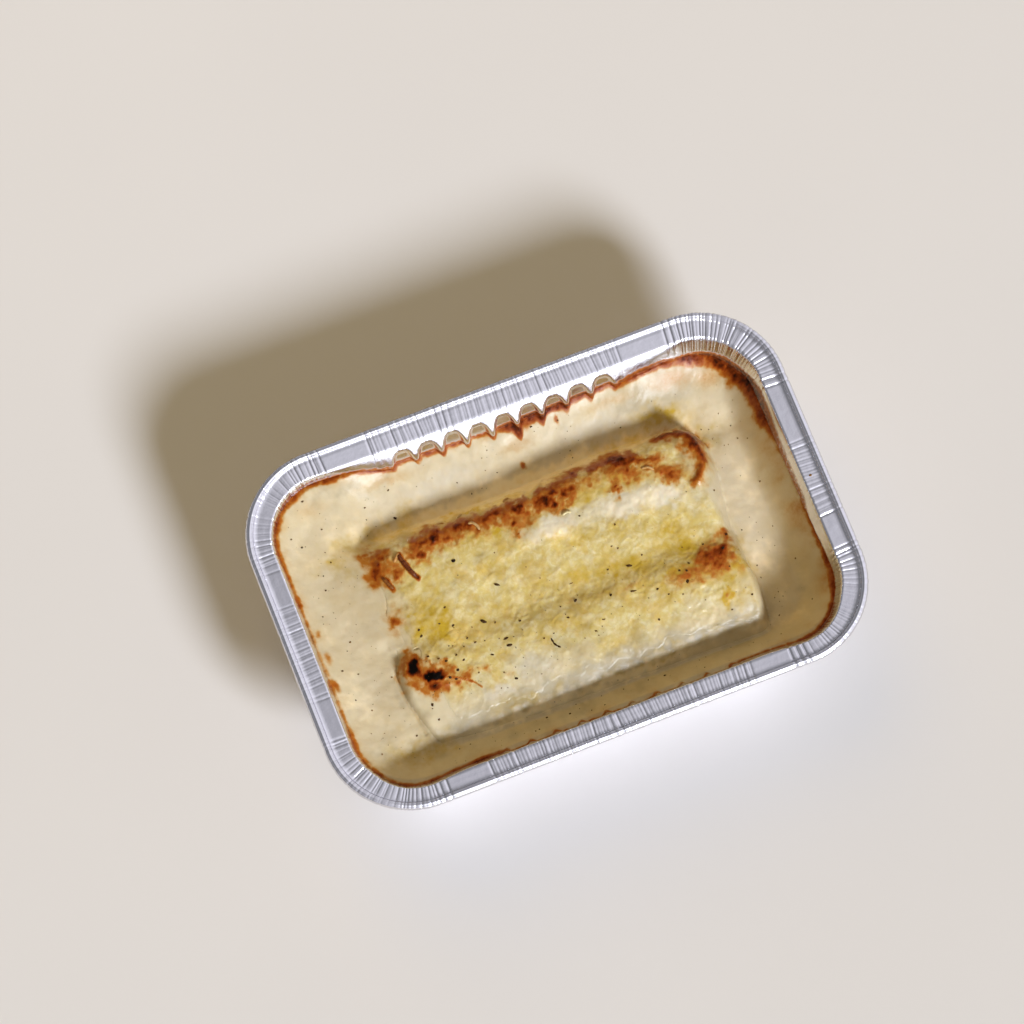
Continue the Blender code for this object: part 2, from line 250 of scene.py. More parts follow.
def grid_solid(name, top, underside, material, masks_at):
    """A closed mesh from a grid of top points, a coarser grid under it, and a rim that joins them."""
    step = UNDER_STEP
    under = underside(top[::step, ::step])
    upper = np.arange(top.shape[0] * top.shape[1]).reshape(top.shape[:2])
    lower = upper.size + np.arange(under.shape[0] * under.shape[1]).reshape(under.shape[:2])
    faces = quads(upper.T, False).tolist() + quads(lower.T, False)[:, ::-1].tolist()

    def border(index):
        return [*index[0, :], *index[1:, -1], *index[-1, -2::-1], *index[-2:0:-1, 0]]

    fine, coarse = border(upper), border(lower)
    for k in range(len(coarse)):
        edge = [int(fine[(step * k + j) % len(fine)]) for j in range(step + 1)]
        faces.append([*edge, int(coarse[(k + 1) % len(coarse)]), int(coarse[k])])
    points = np.concatenate([top.reshape(-1, 3), under.reshape(-1, 3)])
    return new_mesh(name, points, faces, material, masks_at(points[:, 0], points[:, 1]))


# The tray

class Rim:
    """Stations round the rim: outermost point, outward normal, place along the side or corner."""

    def __init__(self, count):
        self.corner_length = math.pi / 2 * RIM_CORNER
        self.length = 4 * (STRAIGHT_X + STRAIGHT_Y + self.corner_length)
        self.s = np.arange(count) * self.length / count
        self.x, self.y = np.zeros(count), np.zeros(count)
        self.nx, self.ny = np.zeros(count), np.zeros(count)
        self.side = np.full(count, -1)
        self.u = np.zeros(count)
        self.side_starts, self.halves, self.corner_starts = [], [], []
        start = 0.0
        for k in range(4):
            turn = math.pi / 2 * (k + 1)
            normal = (round(math.cos(turn)), round(math.sin(turn)))
            half, reach = (STRAIGHT_X, RIM_HALF_Y) if k % 2 == 0 else (STRAIGHT_Y, RIM_HALF_X)
            on = (self.s >= start) & (self.s < start + 2 * half)
            u = half - (self.s[on] - start)
            self.side[on] = k
            self.nx[on], self.ny[on] = normal
            self.x[on] = normal[0] * reach + normal[1] * u
            self.y[on] = normal[1] * reach - normal[0] * u
            self.u[on] = u * (1 if k in (0, 3) else -1)
            self.side_starts.append(start)
            self.halves.append(half)
            start += 2 * half
            self.corner_starts.append(start)
            on = (self.s >= start) & (self.s < start + self.corner_length)
            angle = turn + (self.s[on] - start) / RIM_CORNER
            self.nx[on], self.ny[on] = np.cos(angle), np.sin(angle)
            self.x[on] = STRAIGHT_X * (normal[0] - normal[1]) + RIM_CORNER * self.nx[on]
            self.y[on] = STRAIGHT_Y * (normal[1] + normal[0]) + RIM_CORNER * self.ny[on]
            start += self.corner_length
        self.nearness = smoothstep(0.5, 1.0, -self.ny)

    def along(self, side, u):
        """The distance round the rim of a place on a side, given as x or y."""
        return self.side_starts[side] + self.halves[side] - u * (1 if side in (0, 3) else -1)

    def at(self, inset, height):
        """Points at this inset and height, as an array (station, 3)."""
        return np.stack([self.x - self.nx * inset, self.y - self.ny * inset,
                         np.broadcast_to(height, self.x.shape)], axis=-1)

    def wall(self, height):
        """Inset of the inner wall at this height, with the far lip and the flutes."""
        inset = np.interp(height, WALL_HEIGHTS, WALL_INSETS)
        far, near = self.side == 0, self.side == 2
        number = np.round((self.u - FLUTE_MIDDLE) / FLUTE_PITCH)
        u = self.u - FLUTE_MIDDLE - number * FLUTE_PITCH
        top = FLUTE_TOP + TOP_SWING * np.sin(2.3 * number)
        share = np.clip((height - FLUTE_SPRING) / (top - FLUTE_SPRING), 0.0, 1.0)
        half = FLUTE_HALF * np.sqrt(1.0 - share * share)
        flute = smoothstep(-FLUTE_EDGE, FLUTE_EDGE, half - np.abs(u)) * smoothstep(top, top - 1.6, height)
        flute = flute * smoothstep(FLUTES_REACH + 2, FLUTES_REACH - 4, np.abs(self.u - FLUTE_MIDDLE))
        flute = flute * smoothstep(*FLUTE_FADE, height)
        lean = np.interp(height, LIP_HEIGHTS, LIP_EXTRA)
        lip = lean * np.interp(self.u, *zip(*LIP_BOW)) * (1.0 - FLUTE_DEPTH * flute)
        far_right = (self.side < 0) & (self.nx > 0) & (self.ny > 0)
        corner_lip = lean * CORNER_LIP * smoothstep(0.0, 0.5, self.ny)
        inset = inset + np.where(far, lip, 0.0) + np.where(far_right, corner_lip, 0.0)
        # The near wall bends as far outward in its flutes as inward between them
        between = 0.5 * smoothstep(STRAIGHT_X, 56.0, np.abs(self.u))
        inset = inset - np.where(near, NEAR_FLUTE_DEPTH * (flute - between), 0.0)
        return inset - NEAR_NARROWER * self.nearness


# Creases across the rim: side, from, to, pitch, depth
CRIMP_ZONES = (
    (0, -48.0, 50.0, 1.21, 0.10),
    (2, -50.0, 50.0, 1.21, 0.14),
    (1, -18.0, 14.0, 1.18, 0.10),
    (3, -9.0, 18.5, 1.18, 0.13),
)
CREASE_WIDTH = 0.36
CREASE_LEAN = 0.10
STRONG_EVERY = 8
STRONG_GRADE = 2.8
PLAIN_GRADES = (1.3, 0.6)

# Creases round the corners, drawn at random between these depths and gaps
CORNER_DEPTHS = (0.05, 0.36)
CORNER_GAPS = (0.9, 2.8)
CORNER_MARGIN = 3.0
WIDE_GAP = 6.0

# Single stronger folds across the rim: side, place, depth
FOLD_PLACES = (
    (0, -66.0, 0.5), (0, -68.5, 0.45), (0, 67.0, 0.45), (0, 69.5, 0.5),
    (2, 64.5, 0.6), (2, 67.0, 0.7), (2, 69.5, 0.5), (2, -66.5, 0.5), (2, -69.0, 0.4),
    (1, 35.0, 0.4), (1, 33.4, 0.2), (1, 16.5, 0.2), (1, 18.3, 0.16), (1, -31.5, 0.2), (1, -34.5, 0.22),
    (3, 35.0, 0.55), (3, 33.0, 0.4), (3, 20.0, 0.5), (3, -31.5, 0.55), (3, -34.5, 0.6),
)


class Creases:
    """Creases that run across the flange, with a slightly tilted panel between each two."""

    def __init__(self, rim):
        draw = np.random.default_rng(41)
        places = []
        for side, low, high, pitch, depth in CRIMP_ZONES:
            for k in range(int((high - low) / pitch) + 1):
                grade = STRONG_GRADE if k % STRONG_EVERY == 0 else PLAIN_GRADES[k % 2]
                deep = depth * grade * draw.uniform(0.6, 1.3)
                places.append((rim.along(side, low + k * pitch + draw.uniform(-0.25, 0.25)), deep))
        for start in rim.corner_starts:
            s = start - CORNER_MARGIN
            while s < start + rim.corner_length + CORNER_MARGIN:
                places.append((s, draw.uniform(*CORNER_DEPTHS)))
                s += draw.uniform(*CORNER_GAPS)
        places += [(rim.along(side, u), deep) for side, u, deep in FOLD_PLACES]
        places.sort()
        self.s = np.array([-50.0] + [p[0] for p in places] + [rim.length + 50.0])
        self.depth = np.array([0.0] + [p[1] for p in places] + [0.0])
        gaps = np.diff(self.s)
        tilt = np.where(gaps < WIDE_GAP, 0.06, 0.015)
        # How high each panel's two edges stand
        self.left = draw.normal(0.0, 1.0, len(gaps)) * tilt
        self.right = draw.normal(0.0, 1.0, len(gaps)) * tilt

    def height(self, s):
        """How far the creases and panels move the foil at these distances round the rim."""
        k = np.clip(np.searchsorted(self.s, s, side="right") - 1, 0, len(self.left) - 1)
        before, after = s - self.s[k], self.s[k + 1] - s
        share = before / (before + after)
        panel = mix(self.left[k], self.right[k], share)
        cut = self.depth[k] * np.exp(-np.abs(before / CREASE_WIDTH) ** 1.6)
        cut += self.depth[k + 1] * np.exp(-np.abs(after / CREASE_WIDTH) ** 1.6)
        return panel - cut


def contact_height(x, y):
    """Height of the line where the sauce meets the wall."""
    # The far wall: highest towards the left corner, with a rise near the right one
    far = mix(32.0, 32.8, smoothstep(0.0, 44.0, np.abs(x))) + 3.4 * smoothstep(-38.0, -60.0, x)
    far = far + 2.0 * window(x, 43.0, 54.0, 62.0, 72.0)
    near = mix(31.2, 32.2, smoothstep(8.0, 62.0, np.abs(x)))
    long_side = np.where(y > 0, far, near)
    # The short walls, each with its own slope along the wall
    right = mix(33.4, 32.4, smoothstep(-35.0, -5.0, y))
    left = 34.6 + 1.2 * smoothstep(20.0, 46.0, y)
    short_side = np.where(x > 0, right, left)
    corner_drop = 0.6 * smoothstep(56.0, 74.0, x) * smoothstep(24.0, 46.0, y)
    return mix(long_side, short_side, smoothstep(62.0, 88.0, np.abs(x))) - corner_drop


def flange_tilt(rim):
    """Rise of the flange towards its outer edge, which differs from side to side."""
    far, left = np.clip(rim.ny, 0, 1), np.clip(-rim.nx, 0, 1)
    return FAR_TILT * far ** 8 - LEFT_TILT * left ** 8


# The browned line along the wall: direction from the middle in degrees, width, strength
EDGE_BROWNING = (
    (0, 0.4, 0.20), (6, 0.6, 0.25), (10, 1.0, 0.45), (13, 2.1, 0.66), (17, 2.9, 0.78), (24, 3.7, 0.80),
    (31, 4.1, 0.82), (36, 3.5, 0.80), (39, 2.4, 0.76), (43, 1.5, 0.64), (53, 1.4, 0.68), (62, 1.6, 0.76),
    (70, 1.7, 0.82), (79, 2.6, 0.92), (84, 3.2, 0.9), (90, 1.6, 0.75), (93, 0.8, 0.5), (104, 0.8, 0.5),
    (110, 1.2, 0.54), (120, 1.2, 0.52), (128, 1.0, 0.48),
    (136, 1.2, 0.52), (142, 1.6, 0.54), (150, 1.3, 0.50), (160, 0.8, 0.42), (168, 0.7, 0.40),
    (174, 0.5, 0.30), (180, 0.8, 0.30), (187, 1.1, 0.40), (192, 0.6, 0.34), (197, 0.9, 0.42),
    (209, 1.0, 0.46), (217, 1.0, 0.50), (226, 0.8, 0.48), (235, 0.6, 0.44), (250, 0.4, 0.38),
    (290, 0.4, 0.38), (312, 0.4, 0.38), (320, 0.7, 0.50), (328, 1.1, 0.64), (335, 1.1, 0.66),
    (341, 0.9, 0.58), (347, 0.7, 0.46), (352, 0.5, 0.32), (360, 0.4, 0.20),
)


def edge_browning(x, y):
    """Width and strength of the browned line along the wall, in this direction."""
    direction = np.degrees(np.arctan2(y, x)) % 360
    angles, widths, strengths = zip(*EDGE_BROWNING)
    return np.interp(direction, angles, widths), np.interp(direction, angles, strengths)


# Heights of the outer wall's rings, closest where the flutes bend
OUTER_HEIGHTS = (38.6, 37.9, 37.2, 36.4, 35.6, 34.6, 33.4, 32.0, 30.4, 28.5, 26.0, 22.0, 17.0, 10.0, 3.2)


def build_foil(material):
    """The tray: inner wall, flange, rolled bead and outer wall, as one closed shell."""
    rim = Rim(FOIL_STATIONS)
    creases = Creases(rim)
    noise = Noise(3)
    wander = noise.at(rim.s, 0 * rim.s, 17.0)
    lift = FLANGE_UNEVENNESS * noise.at(rim.s, 0 * rim.s + 9.0, 26.0)
    corner = np.where(rim.side < 0, 1.0, 0.0)
    # The film of sauce above the food, paler at the left end
    width, strength = edge_browning(rim.x, rim.y)
    strength = strength * mix(1.0, 0.35, smoothstep(-60.0, -90.0, rim.x))
    rings, film = [], []

    def add(inset, height, crimp, up, inward, stain=False):
        """Adds a ring, which the creases move by up and inward, with the film of sauce on it."""
        bend = creases.height(rim.s + CREASE_LEAN * (inset - 6.0) * wander) * crimp
        points = rim.at(inset - bend * inward, height + bend * up + lift * smoothstep(30.0, 38.0, height))
        rings.append(points)
        above = height - contact_height(points[:, 0], points[:, 1])
        # Along the right wall the film reaches further up
        tan = 5.0 * smoothstep(84.0, 90.0, points[:, 0]) * smoothstep(-20.0, -8.0, points[:, 1])
        reach = 0.3 + 0.7 * width + tan * smoothstep(42.0, 30.0, points[:, 1])
        film.append((strength + 0.04 * tan) * smoothstep(reach, 0.0, above) * stain)

    # The inner wall, up from the base
    add(WALL_INSETS[0], WALL_HEIGHTS[0], 0, 0, 0)
    add(WALL_INSETS[1], WALL_HEIGHTS[1], 0, 0, 0)
    add(rim.wall(17.0), 17.0, 0, 0, 0)
    for height in INNER_HEIGHTS:
        pleats = smoothstep(mix(*PLEATS_FROM, corner), mix(*PLEATS_FULL, corner), height)
        add(rim.wall(height), height, pleats * (0.7 + 0.3 * corner) + 0.12, 0.3 * pleats, -0.7, stain=True)
    # The flange, the rolled bead round it and the flange's underside
    tilt = flange_tilt(rim)
    for inset in FLANGE_RINGS:
        share = (inset - FLANGE_OUTER_INSET) / (FLANGE_INSET - FLANGE_OUTER_INSET)
        rise = 0.02 * math.sin(2.3 * inset) + tilt * (FLANGE_RINGS[0] - inset)
        add(inset - NEAR_NARROWER * rim.nearness * share, FLANGE_HEIGHT + rise, 1.0, 1, 0)
    for angle in BEAD_ANGLES:
        out, up = math.cos(math.radians(angle)), math.sin(math.radians(angle))
        radius = BEAD_RADIUS - BEAD_RIPPLE + BEAD_RIPPLE * math.cos(math.radians(angle * BEAD_RIPPLES))
        inset = BEAD_RADIUS * 1.03 + radius * out
        height = TRAY_HEIGHT - BEAD_RADIUS + radius * up
        add(inset, height, 0.5, up, -out)
    outer, inner = FLANGE_UNDER_RINGS
    add(outer, FLANGE_HEIGHT - FOIL + tilt * (FLANGE_RINGS[0] - outer), 0.9, 1, 0)
    add(inner - NEAR_NARROWER * rim.nearness, FLANGE_HEIGHT - FOIL, 0.9, 1, 0)
    # The outer wall, down to the base
    for height in OUTER_HEIGHTS:
        add(rim.wall(height) - FOIL, height, 0.15 + 0.5 * corner * smoothstep(3.0, 30.0, height), 0, -1.0)
    add(22.4, 1.0, 0, 0, 0)
    add(BASE_INSET, 0.0, 0, 0, 0)
    return ring_solid("foil_tray", np.array(rings), material, {"film": np.array(film)})


# Browning: spots as x, y, radius along x, radius along y, strength (over 1 is burnt black)

CREST_SPOTS = (
    (-63, 27.5, 1.6, 1.2, 0.5), (-61.5, 20, 2.8, 3.4, 0.72), (-58.5, 23.5, 1.6, 2.0, 0.6),
    (-62.5, 17.5, 1.8, 1.4, 0.6), (-55, 17, 2.2, 2.2, 0.55), (-56, 14.8, 1.5, 1.0, 0.5),
    (-48, 20.5, 3.0, 2.0, 0.55), (-44.3, 19.8, 1.6, 1.2, 0.8), (-43, 23.5, 2.6, 2.2, 0.72),
    (-41, 28, 1.8, 1.4, 0.45), (-38, 23.3, 2.8, 2.6, 1.0), (-36, 26, 2.4, 1.6, 0.65),
    (-33, 21.5, 2.6, 2.2, 0.62), (-29, 24.5, 2.3, 1.6, 0.8), (-25, 23.5, 2.4, 2.2, 0.72),
    (-22.5, 19.6, 2.4, 1.8, 0.42), (-18, 23.2, 2.2, 1.8, 0.75), (-14.5, 24.2, 2.8, 1.8, 0.82),
    (-11, 22, 1.8, 1.4, 0.68), (-9.5, 18.2, 1.1, 0.9, 0.8), (-9, 13.8, 0.8, 0.7, 0.6),
    (-6.5, 21.8, 2.3, 2.4, 1.0), (-4.6, 24, 2.0, 1.6, 0.8), (-3.5, 19.6, 1.4, 1.1, 0.6),
    (2, 22.2, 2.3, 1.8, 0.82), (5.3, 22, 2.2, 2.0, 1.0), (6.8, 19.4, 1.1, 1.4, 1.0),
    (8, 24.6, 1.8, 1.6, 0.8), (10.5, 26.8, 2.0, 1.6, 0.58), (12.2, 23, 2.3, 1.9, 0.85),
    (15, 23.2, 1.6, 1.4, 0.65), (12, 18.6, 1.5, 1.1, 0.4), (17.2, 29.4, 1.4, 1.3, 0.85),
    (22, 22.8, 2.4, 1.6, 0.38), (24, 27, 2.8, 1.8, 0.5), (27.5, 27.8, 2.2, 1.6, 0.58),
    (29, 23.8, 2.4, 1.8, 0.36), (32.3, 28, 2.6, 1.8, 0.9), (35, 26.2, 2.8, 2.4, 1.0),
    (38.5, 25, 2.4, 1.5, 0.78), (36, 21.8, 1.2, 1.8, 0.7), (42, 23, 2.8, 1.0, 0.68),
    (46, 22.2, 1.8, 0.9, 0.6), (50, 21.8, 2.0, 1.2, 0.3), (44, 19.6, 2.2, 1.6, 0.38),
    (38, 18, 2.2, 1.2, 0.36), (47, 17, 1.6, 1.4, 0.5), (50.6, 15.2, 2.3, 1.7, 0.82),
    (30, 18, 1.0, 0.7, 0.95), (30.5, 16.3, 0.5, 0.5, 0.95),
)
END_SPOTS = (
    (62.6, 23.0, 2.7, 4.6, 1.0), (55, 30.6, 3.8, 1.4, 0.8), (57.6, 9.4, 2.2, 1.6, 0.5),
    (61.4, 14, 1.8, 2.4, 0.5), (-62, 0.6, 1.7, 2.6, 0.55), (-59, 4, 2.4, 2.0, 0.22),
)
NEAR_SPOTS = (
    (-62, -18.2, 2.1, 2.6, 1.9), (-60.4, -16.6, 1.3, 1.3, 1.6), (-60.2, -21.4, 1.0, 1.0, 0.6),
    (-57.2, -23.2, 2.1, 1.8, 1.9), (-54.4, -23.6, 2.2, 1.4, 1.9), (-57.0, -26.8, 2.6, 1.6, 0.95),
    (-60, -24.4, 1.1, 1.3, 0.5), (-56.4, -28.6, 1.6, 1.1, 0.62), (-49, -28.8, 1.2, 0.8, 0.55),
    (-46.2, -27.6, 0.9, 0.7, 0.6), (-43.6, -26.2, 0.7, 0.6, 0.35), (-38, -27.4, 1.0, 0.6, 0.36),
    (55, -17.6, 3.6, 3.2, 0.68), (51, -18.8, 3.2, 2.6, 0.66), (57.6, -16.8, 1.7, 1.9, 0.66),
    (53.5, -22.2, 3.0, 2.0, 0.6), (61, -12.2, 0.9, 0.9, 0.7), (46, -21.5, 3.2, 2.2, 0.42),
    (41, -21.8, 3.0, 2.4, 0.42), (36, -22.2, 3.0, 2.2, 0.27), (46, -25.8, 2.4, 1.3, 0.3),
    (61.6, -26, 2.2, 2.8, 0.24), (53, -33.4, 1.3, 1.3, 0.3), (-30.5, -32, 1.6, 0.8, 0.2),
    (22, -18, 6.0, 2.0, 0.2), (-1, -16, 3.0, 1.5, 0.16),
)
SAUCE_SPOTS = (
    (3.2, 39.6, 1.1, 1.3, 0.6), (20.2, 50.6, 0.8, 1.8, 0.5),
    # The first three spots here darken the sauce to tan on the far slopes near both corners
    (79, 46, 8.0, 5.0, 0.2), (-76, 50, 9.0, 4.5, 0.14), (65, 50, 12.0, 4.5, 0.2), (4, 47.0, 10.0, 3.5, 0.17),
    (-45, 51, 16.0, 2.5, 0.16), (40, 50, 14.0, 2.5, 0.16),
    (-89, 6, 1.6, 1.6, 0.35), (-89, -4, 1.6, 2.4, 0.3), (-90, -14, 1.4, 3.0, 0.45),
)

# Browning along paths: points, half width, strength
BROWN_PATHS = (
    # The crease's line: a little browning that also stands for the crease's shade, darkened further by
    # painted shade
    (CREASE, 0.6, 0.12),
    (((-60.3, 17), (-59, 14), (-58, 11)), 0.9, 0.75),
    (((-52.2, 22.2), (-51, 17.4), (-48.6, 11.8)), 0.95, 0.95),
    (((-52, -25.6), (-49, -26.6), (-46.5, -28.4), (-44, -30), (-41.4, -33.5)), 0.4, 0.5),
    (((50.5, 30.2), (54, 30.6), (58, 30), (60.8, 27.6), (62.4, 24), (63.2, 19.6), (63.4, 16)), 1.9, 0.78),
    (((63.4, 16), (61.6, 13), (59, 10.6), (56.6, 8.4)), 1.7, 0.5),
    (((37, 25), (42, 23.4), (47.5, 22.2)), 0.9, 0.55),
    (((-64, 19), (-52, 21), (-38, 23), (-20, 22.5), (-5, 22), (15, 23)), 2.6, 0.26),
)

# Yellow oil, some of it painted warm shade, and milky white places, some of them painted light: x, y, radii,
# strength
# Oil spots along the near edge, on the near slope, in the shaded near-left sauce and in the far trough paint
# warm shade
OIL_AND_PAINTED_SHADE_SPOTS = (
    (-50, -3, 8, 9, 1.15), (-46, 6, 7, 6, 0.35), (-52, 12, 6, 5, 0.2), (-20, 8, 18, 7, 0.3),
    (8, 5, 9, 5, 0.45), (-15, -8, 30, 7, 0.35), (28, 3, 11, 5, 0.5), (44, -2, 9, 6, 0.4),
    (20, -10, 30, 8, 0.5), (46, -12, 12, 5, 0.7), (0, -43.5, 66, 3.0, 0.45), (-40, -14, 16, 6, 0.25),
    (-10, -22, 14, 5, 0.3), (5, -26, 9, 4, 0.35),
    (30, -20, 20, 5, 0.35), (54, -34, 7, 5, 0.4), (60, -26, 4, 6, 0.4), (-30, 14, 20, 4, 0.25),
    (22, 20, 8, 3, 0.4), (-52, -22, 8, 5, 0.2), (-30, -24, 10, 3, 0.2),
    (57, 39.2, 9, 4.6, 0.8), (69, 27, 7, 9, 0.5), (66.5, 14, 2.6, 8, 0.4), (30, 35, 30, 5, 0.35),
    (45, -3, 14, 4, 0.4), (61, -24, 4, 6, 0.7), (44, -20, 13, 5, 0.9), (53, -33.4, 3.4, 3.4, 1.1),
    (-42, 38, 8, 4, 0.4), (-72.5, 26, 4.5, 6, 0.45), (-72, -47, 15, 6, 0.6), (0, -37, 62, 6, 0.22),
    (-55, 33, 20, 5, 0.5), (0, 32, 60, 3.5, 0.25), (-20, 17.6, 40, 2.2, 0.55), (-20, 29.2, 44, 2.4, 0.5),
    (30, 20, 14, 4, 0.6), (66, -20, 3, 18, 0.25),
)
# Some milk spots paint light: on the side sauce, on the cheese's brightest band and on the far glossy band
MILK_AND_PAINTED_LIGHT_SPOTS = (
    (-22, -32, 9, 6.5, 0.75), (-35, -37, 7, 3, 0.8), (18, -37, 7, 4, 0.25), (46, 8, 7, 5, 1.0),
    (73, 0, 8, 34, 0.5), (-78, 5, 9, 36, 0.2), (-78, -24, 9, 12, 0.3), (30, 11, 16, 5, 0.95),
    (3, 12.5, 14, 4.4, 0.9), (-28, 44, 22, 4.5, 0.6), (34, 44, 20, 4, 0.6), (55, -42, 9, 2.5, 0.5),
    (-10, -40, 30, 2.5, 0.45), (25, -41, 25, 2.0, 0.4), (56, 4, 6, 5, 0.4), (40, -32, 8, 4, 0.3),
    (-52, -38, 9, 4, 0.3),
)

# Painted shade: places darkened to stand for shade, along the near edge, on slopes towards the light and by
# the far corners, with one patch of darker tone. Painted light: places lightened inside cast shadows, on the
# near face and in the groove
PAINTED_SHADE_AND_TONE_SPOTS = (
    (0, -41.8, 70, 2.4, 1.1), (58, 47, 18, 5, 0.7), (-70, -30, 2.6, 11, 0.5), (4, 47.0, 12.0, 4.0, 0.5),
    (75, 48, 9, 6, 0.4), (-70, 52, 14, 4, 0.3), (0, 52, 70, 2.6, 0.3), (0, -51, 70, 4, 0.4),
    (0, -40, 66, 4, 0.45), (64, 45, 10, 6, 0.5), (-50, -3, 8, 8, 0.4), (72, 27, 8, 10, 0.5),
    (20, -37, 12, 4, 0.3), (-64, 54, 16, 3, 0.5), (64, 50, 14, 6, 0.8), (-66, -26, 3.5, 16, 0.5),
    (-63, -10, 4, 2.5, 0.3), (-10, -31, 60, 7, 0.3),
)
PAINTED_LIGHT_SPOTS = (
    (-4, 32.5, 58, 5.5, 1.5), (45, 8, 9, 5, 0.55), (30, 34, 30, 3, 0.4), (-80, -26, 10, 12, 0.45),
    (73, -22, 7, 10, 0.7), (20, 10, 36, 4, 0.7), (0, -46.6, 62, 2.6, 1.0), (-45, -14, 12, 4, 0.7),
)

# The paler browning round each spot
HALO_STRENGTH = 0.55
MOST_HALO = 0.34


def spread(x, y, spots, warp, grow=1.0, margin=0.0):
    """How much of these spots is at a place, from 0 up, with edges that the warp makes ragged."""
    total = np.zeros(np.shape(x))
    for sx, sy, rx, ry, strength in spots:
        rx, ry = rx * grow + margin, ry * grow + margin
        near = (np.abs(x - sx) < 2.6 * rx + 3) & (np.abs(y - sy) < 2.6 * ry + 3)
        bend = min(1.0, rx / 2)
        px, py = x[near] - sx + warp[0][near] * bend, y[near] - sy + warp[1][near] * bend
        amount = strength * np.exp(-((px / rx) ** 2 + (py / ry) ** 2))
        there = total[near]
        total[near] = np.maximum(there, amount) + 0.35 * np.minimum(there, amount)
    return total


class Tints:
    """The masks that the food's materials read: browning, oil that also paints warm shade, milky places that
    also paint light, painted shade and light, and cheese.
    """

    def __init__(self):
        self.noise = Noise(11)

    def grain(self, x, y):
        """The finest unevenness of the browning."""
        return self.noise.rough(x + 11, y - 40, 1.3)

    def browning(self, x, y, warp):
        """How browned the food is by its spots and paths: 1 is brown, and above that burnt."""
        spots = CREST_SPOTS + END_SPOTS + NEAR_SPOTS
        brown = spread(x, y, spots, warp)
        for points, width, strength in BROWN_PATHS:
            away = path_distance(x + 0.35 * warp[0], y + 0.35 * warp[1], points)
            brown = np.maximum(brown, strength * bell(away, width))
        halo = spread(x, y, spots, (1.6 * warp[0], 1.6 * warp[1]), grow=1.4, margin=1.5)
        halo = np.minimum(halo * HALO_STRENGTH, MOST_HALO) * (1.0 + 0.4 * self.noise.rough(x - 9, y, 2.2))
        return np.maximum(brown * (1.0 + 0.24 * self.grain(x, y)), halo)

    def edge(self, x, y, warp, wall_distance):
        """How browned the sauce is: its spots, the line along the wall and the tan beside that."""
        width, strength = edge_browning(x, y)
        patch = self.noise.rough(x, y, 5.0)
        width = width * (1.0 + 0.3 * patch)
        line = strength * (1.0 + 0.2 * patch) * smoothstep(1.5 * width + 1.1, 0.2 * width, wall_distance)
        line = line * (1.0 + 0.3 * self.grain(x, y))
        right = smoothstep(50.0, 80.0, x)
        tan = (0.12 + 0.05 * right) * smoothstep(9.0 + 3.0 * right, 0.0, wall_distance)
        tan = tan * (1.0 + 0.5 * patch)
        return np.maximum(spread(x, y, SAUCE_SPOTS, warp), np.maximum(line, tan))

    def at(self, x, y, wall_distance=None):
        """Each mask at these places. With the distance from the wall, its browned line is added."""
        warp = (0.9 * self.noise.rough(x, y, 2.6), 0.9 * self.noise.rough(x + 70, y + 30, 2.6))
        brown = self.browning(x, y, warp)
        if wall_distance is not None:
            brown = np.maximum(brown, self.edge(x, y, warp, wall_distance))
        # The oil mask also paints warm shade, and the milk mask also paints light, at some of their spots
        oil = spread(x, y, OIL_AND_PAINTED_SHADE_SPOTS, (2.5 * warp[0], 2.5 * warp[1]))
        oil = oil * (1.0 + 0.45 * self.noise.rough(x - 20, y, 5.0))
        oil = oil + 0.16 * smoothstep(0.1, 1.0, self.noise.rough(x + 15, y + 5, 9.0, octaves=3))
        milk = spread(x, y, MILK_AND_PAINTED_LIGHT_SPOTS, (2.0 * warp[0], 2.0 * warp[1]))
        # Painted shade less painted light, plus painted shade along the crease, plus random tone
        dull = spread(x, y, PAINTED_SHADE_AND_TONE_SPOTS, (2.0 * warp[0], 2.0 * warp[1])) - spread(x, y, PAINTED_LIGHT_SPOTS, warp)
        dull = dull + 0.4 * bell(path_distance(x, y, CREASE), 0.7)
        return {"brown": brown, "oil": np.clip(oil, 0, 1.3), "milk": np.clip(milk, 0, 1),
                "dull": dull + 0.36 * self.noise.rough(x + 60, y, 6.0, octaves=4),
                "cheese": cheese_cover(x, y, self.noise), "rich": self.richness(x, y)}

    def richness(self, x, y):
        """How yellow the cheese is: it pales towards the ends and the near edge."""
        wobble = 5.0 * self.noise.rough(x - 30, y, 9.0)
        return window(x + wobble, -66.0, -50.0, 52.0, 68.0) * smoothstep(-43.0, -26.0, y + wobble)


# Where the cheese ends: its left edge on the far and on the near roll, and its other three edges
LEFT_EDGES = (-61.0, -58.0)
RIGHT_EDGE = 63.5
NEAR_EDGE = -41.0
FAR_EDGE = 30.0


def cheese_cover(x, y, noise):
    """How far a place is under the cheese, from 0 to 1."""
    wobble = 2.2 * noise.rough(x, y + 90, 8.0)
    on_near = x - LEFT_EDGES[1] + 0.3 * np.minimum(y + 24.0, 0.0)
    from_left = np.where(y > GROOVE_Y, x - LEFT_EDGES[0], on_near)
    along = np.minimum(from_left, RIGHT_EDGE - x)
    across = np.minimum(y - NEAR_EDGE, FAR_EDGE - y)
    return smoothstep(-1.2, 2.6, np.minimum(along, across) + wobble)


# The food's surface

